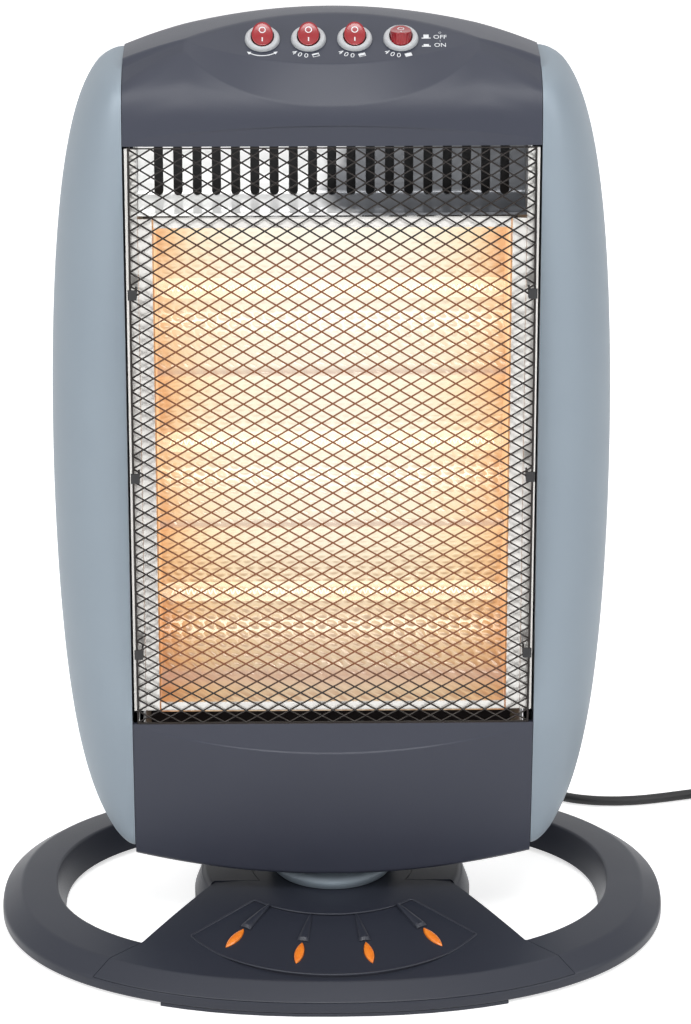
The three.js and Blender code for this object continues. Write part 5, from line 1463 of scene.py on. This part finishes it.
def painted_glow_sheet():
    material, tree, shader = new_material("stucco sheet with painted glow")
    place = object_place(tree)
    axes = axes_of(tree, place)
    cloud = cloud_at(tree, place, 22.0, 3.0)
    drift = maths(tree, "MULTIPLY", maths(tree, "SUBTRACT", cloud, 0.5), 0.34)
    share = maths(tree, "DIVIDE", maths(tree, "ABSOLUTE", axes["X"]), GLOW_HALF_WIDTH)
    height = maths(tree, "SUBTRACT", axes["Z"], GLOW_FOOT)
    level = maths(tree, "DIVIDE", height, GLOW_HEIGHT)
    level = maths(tree, "ADD", level, maths(tree, "MULTIPLY", drift, 0.12))
    lit = glow_of(tree, share, level, drift)
    pattern = add_node(tree, "ShaderNodeGroup", {"Vector": place}, node_tree=stucco_group).outputs
    shown = ramp_of(tree, level, [
        (0.0, (1, 1, 1, 1)), (0.2, (0.72, 0.72, 0.72, 1)), (0.34, (0.26, 0.26, 0.26, 1)),
        (1.0, (0.2, 0.2, 0.2, 1)),
    ])
    depth = maths(tree, "ADD", shown, maths(tree, "MULTIPLY", share, 0.22))
    shade = maths(tree, "MULTIPLY", pattern["Shade"], depth)
    # Painted shade: the lower side of each stucco cushion is darkened toward brown.
    shaded = mixed(tree, shade, lit, srgb(158, 116, 88))
    # Painted shade: the glow is dimmed to a greyish pink along each ridge.
    shaded = mixed(tree, ridge_lines(tree, height), shaded, srgb(196, 160, 146))
    # The whole glow is painted: its colour goes into emission, as if the sheet were a lamp.
    tree.links.new(shaded, shader.inputs["Emission Color"])
    relief = add_node(
        tree, "ShaderNodeBump", {"Strength": 0.9, "Distance": 0.0009, "Height": pattern["Cushion"]}
    )
    tree.links.new(relief.outputs["Normal"], shader.inputs["Normal"])
    set_plain(
        shader, Emission_Strength=0.86, Base_Color=(0.2, 0.17, 0.14, 1), Metallic=1.0, Roughness=0.3
    )
    return material


painted_glow = painted_glow_sheet()
print("material:", painted_glow.name)

# %% [markdown]
# ## Reflector
# The reflector is a tray of thin sheet: three troughs, one behind each lamp, between end plates
# with a hole for each lamp. Lips above and below and a flange along each side frame it. The
# troughs, the end plates and the lower lip carry the painted glow, and the rest of the frame is the
# bright sheet without it. A strip of the bright sheet closes the view between each flange and the
# side of the head.

# %% Troughs, lips, end plates and flanges
TROUGH_START, TROUGH_PITCH, TROUGH_COUNT = 142, 83.3, 3
TROUGH_TOP = TROUGH_START + TROUGH_PITCH * TROUGH_COUNT
TROUGH_RIDGE_Y, TROUGH_DEPTH, TRAY_FRONT_Y = -14, 28, -44
TRAY_END_X, TRAY_SHEET, FLANGE_X = 88, 0.8, 95.7
LIP_DROP, LIP_RISE, LIP_FOLD = 6.5, 9.5, 4.6
TRAY_LOW, TRAY_HIGH = TROUGH_START - LIP_DROP, TROUGH_TOP + LIP_RISE
LAMP_Y, LAMP_RADIUS = -2, 5
LAMP_LEVELS = [TROUGH_START + TROUGH_PITCH * (k + 0.5) for k in range(TROUGH_COUNT)]


def slab(outline, left, right):
    """An outline of (y, z) points run from one x to another."""
    return stack([[(left, y, z) for y, z in outline], [(right, y, z) for y, z in outline]])


def sheet_across(path, half_width):
    """A thin sheet whose (y, z) path runs the full width."""
    back = offset_path(path, TRAY_SHEET)
    stations = [half_width * (k / 12 - 1) for k in range(25)]
    return plate(*[[[(x, y, z) for y, z in side] for x in stations] for side in (path, back)])


def trough_path():
    path = []
    for middle in LAMP_LEVELS:
        for step in range(0 if middle == LAMP_LEVELS[0] else 1, 25):
            u = step / 12 - 1
            y = TROUGH_RIDGE_Y + TROUGH_DEPTH * (1 - u * u)
            path.append((y, middle + u * TROUGH_PITCH / 2))
    return path


def end_plate_mesh(side):
    outline = trough_path() + [(TRAY_FRONT_Y, TRAY_HIGH), (TRAY_FRONT_Y, TRAY_LOW)]
    near, far = sorted((side * TRAY_END_X, side * (TRAY_END_X + TRAY_SHEET)))
    hole = moved(round_tool(LAMP_RADIUS + 0.6, -3, 3, 40), Matrix.Rotation(math.pi / 2, 4, "Y"))
    places = [Matrix.Translation((side * TRAY_END_X, LAMP_Y, z)) for z in LAMP_LEVELS]
    blank = mesh_of("end_plate", slab(outline, near, far))
    holes = merged(*[moved(hole, place) for place in places])
    return combined("end_plate", blank, cuts=[tool_mesh(holes)])


def strip_outline(front, low, high):
    """An upright strip of the sheet, seen from its end."""
    back = front + TRAY_SHEET
    return [(front, low), (back, low), (back, high), (front, high)]


troughs = mesh_of("troughs", sheet_across(trough_path(), TRAY_END_X))
finish_piece("painted_glow_troughs", troughs, "head", painted_glow, ["reflector"], 50)
low_lip_path = [(TRAY_FRONT_Y, TRAY_LOW), (TROUGH_RIDGE_Y, TROUGH_START)]
low_lip = mesh_of("low_lip", sheet_across(low_lip_path, TRAY_END_X))
for side, label in ((1, "right"), (-1, "left")):
    finish_piece(f"tray_end_{label}", end_plate_mesh(side), "head", painted_glow, (), 30)
finish_piece("tray_low_lip", low_lip, "head", painted_glow, (), 30)
print("troughs:", TROUGH_COUNT, "with", len(troughs.polygons), "faces")

# %% Bright frame of the tray, and the strips beside it
flange = strip_outline(TRAY_FRONT_Y, TRAY_LOW, TRAY_HIGH)
fold_levels = (TRAY_HIGH - LIP_FOLD, TRAY_LOW)
folds = [strip_outline(TRAY_FRONT_Y - 0.05, z, z + LIP_FOLD) for z in fold_levels]
frame_shapes = [
    sheet_across([(TROUGH_RIDGE_Y, TROUGH_TOP), (TRAY_FRONT_Y, TRAY_HIGH)], TRAY_END_X),
    slab(flange, TRAY_END_X, FLANGE_X), slab(flange, -FLANGE_X, -TRAY_END_X),
    *[slab(fold, -TRAY_END_X, TRAY_END_X) for fold in folds],
]
tray_frame = mesh_of("tray_lips", merged(*frame_shapes))
edge_strip = strip_outline(TRAY_FRONT_Y - 0.4, TRAY_LOW, UPPER_BOTTOM - 2)
for side, label in ((1, "right"), (-1, "left")):
    near, far = sorted((side * (FLANGE_X + 0.2), side * (HALF_BODY - 0.7)))
    strip = mesh_of("strip", slab(edge_strip, near, far))
    finish_piece(f"edge_strip_{label}", strip, "head", chrome_sheet, (), 30)
finish_piece("tray_lips", tray_frame, "head", chrome_sheet, (), 30)

# %% [markdown]
# ## Heat shield
# Above the reflector stands a bright sheet with nineteen slots, bent out to the front at its foot.
# Its brightness on the left, darkening to the right, is a painted reflection. The slots come from
# the same tree as those of the back cover, and a dark sheet behind them is painted shade that keeps
# the view through them black.

# %% Material of the heat shield
SHIELD_REFLECTION_WIDTH = 0.19


def sheet_with_painted_reflection():
    """Bright sheet with a painted reflection, which darkens in a soft drift toward one side; the
    emission paints a faint glow of it.
    """
    material, tree, shader = new_material("sheet with painted reflection")
    place = object_place(tree)
    cloud = cloud_at(tree, place, 30.0, 4.0)
    drift = maths(tree, "MULTIPLY", maths(tree, "SUBTRACT", cloud, 0.5), 0.5)
    across = maths(tree, "DIVIDE", axes_of(tree, place)["X"], SHIELD_REFLECTION_WIDTH)
    across = maths(tree, "ADD", across, 0.5)
    # Painted reflection: bright on the left, darker to the right.
    painted_reflection = ramp_of(tree, maths(tree, "ADD", across, drift), [
        (0.0, srgb(250, 250, 248)), (0.46, srgb(238, 238, 238)), (0.56, srgb(112, 114, 118)),
        (1.0, srgb(84, 86, 90)),
    ])
    grain = add_node(tree, "ShaderNodeGroup", node_tree=grain_group)
    grain.inputs["Roughness"].default_value = 0.16
    tree.links.new(painted_reflection, shader.inputs["Base Color"])
    # The emission paints a faint glow of the same reflection.
    tree.links.new(painted_reflection, shader.inputs["Emission Color"])
    tree.links.new(grain.outputs["Roughness"], shader.inputs["Roughness"])
    set_plain(shader, Emission_Strength=0.28, Metallic=0.35)
    return material


painted_reflection_sheet = sheet_with_painted_reflection()
print("material:", painted_reflection_sheet.name)

# %% Heat shield with its slots, and the dark sheet of painted shade behind them
SHIELD_LOW, SHIELD_TOP, BEND = TRAY_HIGH + 1.7, 446, 1.5
SHIELD_FACE_Y, SHIELD_HALF_WIDTH = -24, 95.7
SHIELD_BACK_Y = SHIELD_FACE_Y + SHEET
SHIELD_SLOTS = {"Count": 19, "Pitch": 0.0095, "Width": 0.0045, "Bottom": 0.4074, "Top": 0.4392}
INNER_FRONT, INNER_BACK, INNER_LOW, INNER_HIGH, INNER_HALF_WIDTH = -16, -15.4, 400, 447, 90
shield_face = rounded([
    (TRAY_FRONT_Y, SHIELD_LOW + SHEET), (SHIELD_FACE_Y, SHIELD_LOW + BEND + SHEET),
    (SHIELD_FACE_Y, SHIELD_TOP),
], [9], 10)
shield_back = rounded([
    (TRAY_FRONT_Y, SHIELD_LOW), (SHIELD_BACK_Y, SHIELD_LOW + BEND), (SHIELD_BACK_Y, SHIELD_TOP)
], [10], 10)
stations = [SHIELD_HALF_WIDTH * (k / 4 - 1) for k in range(9)]
shield = mesh_of("slotted_shield", plate(
    [[(x, y, z) for y, z in shield_face] for x in stations],
    [[(x, y, z) for y, z in shield_back] for x in stations],
))
shield = grown("slotted_shield", slot_tree, SHIELD_SLOTS | {"Y": -0.0234, "Depth": 0.008}, shield)
finish_piece("slotted_shield", shield, "head", painted_reflection_sheet, ["heat_shield"], 30)
# A dark sheet of painted shade behind the slots, where the inside of the head is in shade.
inner_outline = [
    (INNER_FRONT, INNER_LOW), (INNER_BACK, INNER_LOW),
    (INNER_BACK, INNER_HIGH), (INNER_FRONT, INNER_HIGH),
]
shade_sheet_mesh = mesh_of("inner", slab(inner_outline, -INNER_HALF_WIDTH, INNER_HALF_WIDTH))
finish_piece("painted_shade_sheet", shade_sheet_mesh, "head", black_rubber, (), 30)
print("shield faces:", len(shield.polygons))

# %% [markdown]
# ## Lamps
# Each lamp is a quartz tube with a coiled filament between two ceramic caps. The lit tube is
# nearly as bright as the sheet behind it. The coil is a spiral from a Geometry Nodes tree.

# %% Materials of the lit tube and of the filament
def lit_quartz():
    material, tree, shader = new_material("lit quartz")
    cloud = cloud_at(tree, object_place(tree), 40.0)
    tint = ramp_of(tree, cloud, [(0.3, srgb(255, 238, 198)), (0.7, srgb(255, 252, 236))])
    tree.links.new(tint, shader.inputs["Emission Color"])
    tree.links.new(tint, shader.inputs["Base Color"])
    rim = add_node(tree, "ShaderNodeLayerWeight", {"Blend": 0.4})
    part = maths(tree, "ADD", maths(tree, "MULTIPLY", rim.outputs["Facing"], 0.22), 0.12)
    tree.links.new(part, shader.inputs["Alpha"])
    set_plain(shader, Emission_Strength=0.8, Roughness=0.06)
    return material


def glowing_wire():
    material, tree, shader = new_material("glowing filament")
    cloud = cloud_at(tree, object_place(tree), 120.0)
    tint = ramp_of(tree, cloud, [(0.35, srgb(255, 214, 150)), (0.65, srgb(255, 246, 214))])
    tree.links.new(tint, shader.inputs["Emission Color"])
    set_plain(shader, Emission_Strength=1.05)
    return material


quartz, filament_glow = lit_quartz(), glowing_wire()
print("materials:", quartz.name, "and", filament_glow.name)


# %% Quartz tube, filament and caps
def build_filament_tree(material):
    sizes = {"Turns": 58.0, "Length": 0.166, "Radius": 0.0014, "Wire": 0.0003}
    tree, given = new_tree("coiled filament", sizes)
    spiral = add_node(tree, "GeometryNodeCurveSpiral", {
        "Resolution": 14, "Rotations": given["Turns"], "Start Radius": given["Radius"],
        "End Radius": given["Radius"], "Height": given["Length"],
    })
    wire = tube_along(tree, spiral.outputs[0], given["Wire"], 5)
    half_back = maths(tree, "MULTIPLY", given["Length"], -0.5)
    centred = add_node(tree, "GeometryNodeTransform", {
        0: wire.outputs[0], "Translation": vector_of(tree, 0.0, 0.0, half_back),
    })
    close_tree(tree, centred.outputs[0], material)
    return tree


def along_x(z, side=1):
    return Matrix.Translation((0, LAMP_Y, z)) @ Matrix.Rotation(side * math.pi / 2, 4, "Y")


filament_tree = build_filament_tree(filament_glow)
TUBE_PROFILE = [
    (0, -90.2), (2.6, -90.2), (3.0, -87), (4.4, -84.5), (LAMP_RADIUS, -82), (LAMP_RADIUS, 82),
    (4.4, 84.5), (3.0, 87), (2.6, 90.2), (0, 90.2),
]
CAP_PROFILE = [
    (0, 90.5), (6.2, 90.5), (7, 91.2), (7, 93), (6.4, 93.5), (6.4, 94.2), (7, 94.7), (7, 98),
    (6.3, 98.9), (3.2, 99.6), (3, 101), (0, 101),
]
for number, z in enumerate(LAMP_LEVELS, 1):
    tube = mesh_of("tube", moved(lathe(TUBE_PROFILE, 40), along_x(z)))
    finish_piece(
        f"quartz_tube_{number}", tube, "head", quartz, [f"quartz_lamp_{number}"], 50
    )
    coil_mesh = grown("filament", filament_tree, {})
    coil_mesh.transform(Matrix.Scale(MM, 4) @ along_x(z) @ Matrix.Scale(1 / MM, 4))
    finish_piece(f"filament_{number}", coil_mesh, "head", filament_glow, (), 60)
    for side, label in ((1, "right"), (-1, "left")):
        cap = mesh_of("cap", moved(lathe(CAP_PROFILE, 32), along_x(z, side)))
        node = f"lamp_cap_{label}_{number}"
        finish_piece(f"ceramic_{label}_{number}", cap, "head", ceramic, [node], 30)
print("lamps:", len(LAMP_LEVELS), "filament faces:", len(coil_mesh.polygons))

# %% [markdown]
# ## Switches
# Four round switches stand on the sloping panel. Each has a pale collar with an oval opening,
# in which a red rocker tilts on its own body. A rocker has a dished face with the marks O and I,
# and fine upright ribs on its front wall, which show when it is tipped back.

# %% Collars
BEZEL_RADIUS, BEZEL_HEIGHT = 8.65, 2.7
ROCKER_PIVOT, ROCKER_TILTS = 2.6, [25, 25, 25, -25]
ROCKER_HALF_WIDTH, ROCKER_HALF_LENGTH, ROCKER_HIGH, ROCKER_DISH = 5.2, 6.2, 3.4, 0.6
SWITCH_FOOT, WELL_FOOT = -13, -5.07


def oval_tool(half_width, half_length, low):
    around = [2 * math.pi * k / 72 for k in range(72)]
    outline = [(half_width * math.cos(a), half_length * math.sin(a)) for a in around]
    return prism(outline, low, BEZEL_HEIGHT + 1)


def collar_mesh(place):
    rim = rounded([
        (0, SWITCH_FOOT), (SWITCH_BODY_RADIUS, SWITCH_FOOT), (SWITCH_BODY_RADIUS, 0.05),
        (BEZEL_RADIUS, 0.05), (BEZEL_RADIUS - 0.2, BEZEL_HEIGHT * 0.62),
        (BEZEL_RADIUS - 0.95, BEZEL_HEIGHT), (0, BEZEL_HEIGHT),
    ], [0.6, 0.1, 0.25, 0.5, 0.45], 5)
    wells = [oval_tool(5.8, 7.5, GAP), oval_tool(5.8, 6.9, WELL_FOOT)]
    blank = mesh_of("collar", moved(lathe(rim, 72), place))
    return combined("collar", blank, cuts=[tool_mesh(moved(well, place)) for well in wells])


for number, x in enumerate(SWITCH_XS, 1):
    collar = finish_piece(
        f"collar_{number}", collar_mesh(on_panel(x)), "head", bezel_grey,
        [f"switch_bezel_{number}"], 32,
    )
print("collar faces:", len(collar.data.polygons))


# %% Shapes of a rocker and of its marks
ROCKER_STEPS = 144
MARK_PROUD = 0.05


def face_height(y):
    return ROCKER_HIGH - ROCKER_DISH * (1 - (y / ROCKER_HALF_LENGTH) ** 2)


def rocker_ring(width, length, height, ribs=0.0, share=1.0):
    """An oval ring; a height under one, or a ring drawn in, follows the dished face that far below
    it, and ribs wave its front wall.
    """
    ring = []
    for k in range(ROCKER_STEPS):
        angle = 2 * math.pi * k / ROCKER_STEPS
        front = smoothstep(0.35, 0.6, -math.sin(angle))
        wave = 1 - ribs * front * (0.5 + 0.5 * math.cos(20 * angle))
        x, y = width * share * wave * math.cos(angle), length * share * wave * math.sin(angle)
        ring.append((x, y, face_height(y) - height if share < 1 or height < 1 else -height))
    return ring


def rocker_shape():
    width, length = ROCKER_HALF_WIDTH, ROCKER_HALF_LENGTH
    turns = [2 * math.pi * k / ROCKER_STEPS for k in range(ROCKER_STEPS)]
    foot = [(4.0 * math.cos(turn), 5.0 * math.sin(turn), -5) for turn in turns]
    rings = [foot, rocker_ring(width, length, 2.5)]
    rings += [rocker_ring(width, length, 2.3, 0.03), rocker_ring(width, length, 0.62, 0.03)]
    rings += [rocker_ring(width, length, 0.42), rocker_ring(width, length, 0.12, 0.0, 0.985)]
    rings += [rocker_ring(width, length, 0.0, 0.0, s) for s in (0.95, 0.8, 0.6, 0.4, 0.2, 0.04)]
    return stack(rings)


def marks_shape():
    """A round mark and an upright bar, inlaid level with the face."""
    rings = []
    for k in range(40):
        angle = 2 * math.pi * k / 40
        inner = (1.25 * math.cos(angle), 2.1 + 1.15 * math.sin(angle))
        outer = (1.72 * math.cos(angle), 2.1 + 1.6 * math.sin(angle))
        rings.append([(*inner, 2.4), (*outer, 2.4), (*outer, face_height(outer[1]) + MARK_PROUD),
                      (*inner, face_height(inner[1]) + MARK_PROUD)])
    bar = [(-0.3, -3.9), (0.3, -3.9), (0.3, -1.75), (-0.3, -1.75)]
    return merged(stack(rings, around=True), stack([
        [(x, y, 2.2) for x, y in bar], [(x, y, face_height(y) + MARK_PROUD) for x, y in bar],
    ]))


print("faces of a rocker:", len(rocker_shape()[1]))

# %% Rockers, each on its own body
red_rocker = grained(
    "red switch plastic", srgb(152, 8, 24), srgb(134, 5, 18), 0.24, 0.05, 1200.0, Coat_Weight=0.2,
    Coat_Roughness=0.12,
)
white_ink = grained("white ink", srgb(226, 228, 230), srgb(210, 213, 217), 0.5, 0.12, 3000.0)
for number, (x, tilt) in enumerate(zip(SWITCH_XS, ROCKER_TILTS), 1):
    turn = Matrix.Translation((0, 0, ROCKER_PIVOT)) @ Matrix.Rotation(math.radians(tilt), 4, "X")
    place = on_panel(x) @ turn
    body = f"rocker_{number}"
    key = mesh_of("key", moved(rocker_shape(), place))
    marks = mesh_of("marks", moved(marks_shape(), place))
    rocker = finish_piece(
        f"rocker_key_{number}", key, body, red_rocker, [f"switch_rocker_{number}"], 40
    )
    finish_piece(f"rocker_marks_{number}", marks, body, white_ink, (), 40)
print("rocker faces:", len(rocker.data.polygons))

# %% [markdown]
# ## Printed marks
# The marks beside the switches are plain ones: a two-headed arrow under the turning switch, the
# number 400 with a little heater symbol under each of the others, and ON and OFF with the
# symbols of a pressed and a released key. Each is a thin layer of white ink on the panel.

# %% Shapes of the glyphs and symbols
INK = 0.035
ARROW_RADIUS, ARROW_HALF_WIDTH = 11.2, 0.28
PRINT_RADIUS = 11.4


def glyph_shape(body, size):
    data = bpy.data.curves.new("glyph", "FONT")
    data.body = body
    data.size = size * MM
    data.extrude = INK * MM
    data.resolution_u = 4
    data.align_x, data.align_y = "CENTER", "CENTER"
    holder = bpy.data.objects.new("glyph", data)
    scene.collection.objects.link(holder)
    bpy.context.view_layer.update()
    mesh = bpy.data.meshes.new_from_object(holder)
    bpy.data.objects.remove(holder)
    return [tuple(v.co / MM) for v in mesh.vertices], [list(p.vertices) for p in mesh.polygons]


def flat_shape(outline):
    return prism(outline, -INK, INK)


def bar_shape(x, y, width, height):
    w, h = width / 2, height / 2
    return flat_shape([(x - w, y - h), (x + w, y - h), (x + w, y + h), (x - w, y + h)])


def round_bezel(x, degrees):
    """A place on the panel on an arc about a switch, turned to follow the arc."""
    angle = math.radians(degrees)
    out = Matrix.Translation((PRINT_RADIUS * math.cos(angle), PRINT_RADIUS * math.sin(angle), INK))
    return on_panel(x) @ out @ Matrix.Rotation(angle + math.pi / 2, 4, "Z")


def beside(x, up):
    """A place on the panel beside the last switch, up its slope by a distance."""
    return on_panel(x) @ Matrix.Translation((0, up, INK))


def arrow_shape():
    outer, inner = ARROW_RADIUS + ARROW_HALF_WIDTH, ARROW_RADIUS - ARROW_HALF_WIDTH
    shapes = [flat_shape(arc(outer, -122, -58, 24) + arc(inner, -58, -122, 24))]
    for start, sign in ((-124, -1), (-56, 1)):
        root = math.radians(start - 2 * sign)
        tip = math.radians(start + 8 * sign)
        ends = [(ARROW_RADIUS - 1.0, root), (ARROW_RADIUS + 1.0, root), (ARROW_RADIUS, tip)]
        shapes.append(flat_shape([(r * math.cos(a), r * math.sin(a)) for r, a in ends]))
    return merged(*shapes)


def heater_symbol(lit):
    """A little frame, part of which is filled to tell how many lamps are on."""
    frame_bars = [bar_shape(0, 1.0, 3.4, 0.3), bar_shape(0, -1.0, 3.4, 0.3),
                  bar_shape(-1.55, 0, 0.3, 2.0), bar_shape(1.55, 0, 0.3, 2.0)]
    filled = bar_shape(0, 0.85 - 0.3 * lit, 2.9, 0.6 * lit)
    return merged(*frame_bars, filled)


def key_symbol(middle, height):
    """A key over its plate: tall when it is released, low when it is pressed."""
    return merged(bar_shape(0, -0.9, 4.4, 0.6), bar_shape(0, middle, 2.6, height))


print("a heater symbol has", len(heater_symbol(1)[1]), "faces")

# %% Marks on the panel
WORD_SIZE, NUMBER_SIZE, SMALL_SIZE = 3.8, 4.3, 1.8
WORD_X, KEY_X = SWITCH_XS[-1] + 19.2, SWITCH_XS[-1] + 12.4
NUMBER_ANGLES, SYMBOL_ANGLE = (-128, -112, -96), -72
prints = [moved(arrow_shape(), on_panel(SWITCH_XS[0]) @ Matrix.Translation((0, 0, INK)))]
for lit, x in enumerate(SWITCH_XS[1:], 1):
    for character, degrees in zip("400", NUMBER_ANGLES):
        prints.append(moved(glyph_shape(character, NUMBER_SIZE), round_bezel(x, degrees)))
    prints.append(moved(heater_symbol(lit), round_bezel(x, SYMBOL_ANGLE)))
for text, size, up in (("OFF", WORD_SIZE, 1.6), ("ON", WORD_SIZE, -4.2),
                       ("O", SMALL_SIZE, 4.7), ("I", SMALL_SIZE, -1.2)):
    prints.append(moved(glyph_shape(text, size), beside(WORD_X, up)))
prints.append(moved(key_symbol(0.5, 2.2), beside(KEY_X, 1.8)))
prints.append(moved(key_symbol(0.0, 1.1), beside(KEY_X, -4.0)))
printed = mesh_of("panel_print", merged(*prints))
finish_piece("panel_print", printed, "head", white_ink, (), 40)
print("print faces:", len(printed.polygons))

# %% [markdown]
# ## Screws and kept parts
# Six screws hold the back cover, each with a cross recess. One tree makes a screw and puts it on
# the points it is given. The parts inside the head and under the base keep their CAD shape,
# which is right as it is, and take their finish here.

# %% Cross-head screws
def build_screw_tree(material):
    sizes = {"Radius": 0.0029, "Height": 0.0016, "Slot": 0.0007}
    tree, given = new_tree("cross-head screws", sizes)
    head = add_node(tree, "GeometryNodeMeshCylinder", {
        "Vertices": 32, "Radius": given["Radius"], "Depth": given["Height"],
    })
    cut = head.outputs["Mesh"]
    length = maths(tree, "MULTIPLY", given["Radius"], 1.3)
    for size in (vector_of(tree, length, given["Slot"], given["Height"]),
                 vector_of(tree, given["Slot"], length, given["Height"])):
        bar = add_node(tree, "GeometryNodeMeshCube", {"Size": size})
        lift = vector_of(tree, 0.0, 0.0, maths(tree, "MULTIPLY", given["Height"], 0.5))
        raised = add_node(
            tree, "GeometryNodeTransform", {0: bar.outputs["Mesh"], "Translation": lift}
        )
        boolean = add_node(tree, "GeometryNodeMeshBoolean", operation="DIFFERENCE", solver="EXACT")
        tree.links.new(cut, boolean.inputs[0])
        tree.links.new(raised.outputs[0], boolean.inputs[1])
        cut = boolean.outputs[0]
    spread = add_node(tree, "GeometryNodeInstanceOnPoints", {
        "Points": given["Geometry"], "Instance": cut, "Rotation": (-math.pi / 2, 0, 0),
    })
    close_tree(tree, spread.outputs[0], material)
    return tree


SCREW_PLACES = [(x, z) for x in (-88, 88) for z in (86, 262, 430)]
screw_points = bpy.data.meshes.new("screw points")
screw_points.from_pydata([Vector((x, back_y(x) + 0.4, z)) * MM for x, z in SCREW_PLACES], [], [])
screws = grown("back_screws", build_screw_tree(plain_steel), {}, screw_points)
finish_piece("back_screws", screws, "head", plain_steel, (), 30)
print("screws:", len(SCREW_PLACES))

# %% Finishes of the kept CAD parts
FINISHES = {
    "base_bottom_cover": base_slate, "front_foot": base_slate, "rear_foot_right": black_rubber,
    "rear_foot_left": black_rubber, "oscillation_motor": plain_steel, "motor_crank": ceramic,
    "swing_yoke": plain_steel, "turntable_retainer": plain_steel, "side_frame_right": pale_steel,
    "side_frame_left": pale_steel, "chassis_floor": plain_steel, "thermal_cutout": ceramic,
    "terminal_block": ceramic, "tilt_switch": slate,
}
for name, finish in FINISHES.items():
    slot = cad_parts[name].material_slots[0]
    slot.link = "OBJECT"
    slot.material = finish
print("kept parts:", len(FINISHES))

# %% [markdown]
# ## Floor, light and background
# The heater stands on plain white. A pale floor catches a soft shadow, and it turns white away
# from it because camera rays see a little light of the floor's own. Four large soft lamps and a
# pale world light the object at a level at which a colour renders about as it is written.

# %% Floor and world
FLOOR_REACH, FLOOR_LEVEL, FLOOR_GLOW = 6.0, -0.0003, 0.66
WORLD_LEVEL = 0.3


def seen_by_eye(tree):
    """One for rays that show the background: from the camera, off gloss and through glass."""
    ray = add_node(tree, "ShaderNodeLightPath").outputs
    seen = maths(tree, "MAXIMUM", ray["Is Camera Ray"], ray["Is Glossy Ray"])
    return maths(tree, "MAXIMUM", seen, ray["Is Transmission Ray"])


def pale_floor():
    mesh = bpy.data.meshes.new("floor")
    corners = [(-1, -1), (1, -1), (1, 1), (-1, 1)]
    points = [(x * FLOOR_REACH, y * FLOOR_REACH, FLOOR_LEVEL) for x, y in corners]
    mesh.from_pydata(points, [], [[0, 1, 2, 3]])
    floor = bpy.data.objects.new("floor", mesh)
    scene.collection.objects.link(floor)
    material, tree, shader = new_material("pale floor")
    set_plain(shader, Base_Color=(0.86, 0.86, 0.86, 1), Roughness=0.9)
    strength = maths(tree, "MULTIPLY", seen_by_eye(tree), FLOOR_GLOW)
    glow = add_node(tree, "ShaderNodeEmission", {"Strength": strength})
    total = add_node(tree, "ShaderNodeAddShader", {0: shader.outputs[0], 1: glow.outputs[0]})
    tree.links.new(total.outputs[0], tree.nodes["Material Output"].inputs["Surface"])
    mesh.materials.append(material)


def pale_world():
    world = bpy.data.worlds.new("studio")
    scene.world = world
    world.use_nodes = True
    tree = world.node_tree
    lift = maths(tree, "MULTIPLY", seen_by_eye(tree), 1.0 - WORLD_LEVEL)
    background = tree.nodes["Background"].inputs
    background["Color"].default_value = (1, 1, 1, 1)
    tree.links.new(maths(tree, "ADD", lift, WORLD_LEVEL), background["Strength"])


pale_floor()
pale_world()
print("floor and world ready")


# %% Soft lamps
def soft_lamp(name, place, aim, size, watts):
    data = bpy.data.lights.new(name, "AREA")
    data.shape = "RECTANGLE"
    data.size, data.size_y = size
    data.energy = watts
    lamp = bpy.data.objects.new(name, data)
    lamp.location = place
    lamp.rotation_euler = (Vector(aim) - Vector(place)).to_track_quat("-Z", "Y").to_euler()
    scene.collection.objects.link(lamp)


soft_lamp("front left box", (-1.5, -1.7, 1.7), (0, 0, 0.25), (1.2, 1.4), 27)
soft_lamp("front right box", (1.9, -1.2, 1.2), (0, 0, 0.25), (1.0, 1.4), 15)
soft_lamp("high front box", (0.1, -1.8, 2.2), (0, 0, 0.45), (1.2, 0.6), 26)
soft_lamp("top box", (0.1, 0.2, 2.2), (0, 0, 0.2), (1.6, 1.6), 8)
scene.view_settings.view_transform = "Standard"

# %% Finish by updating the view layer
bpy.context.view_layer.update()
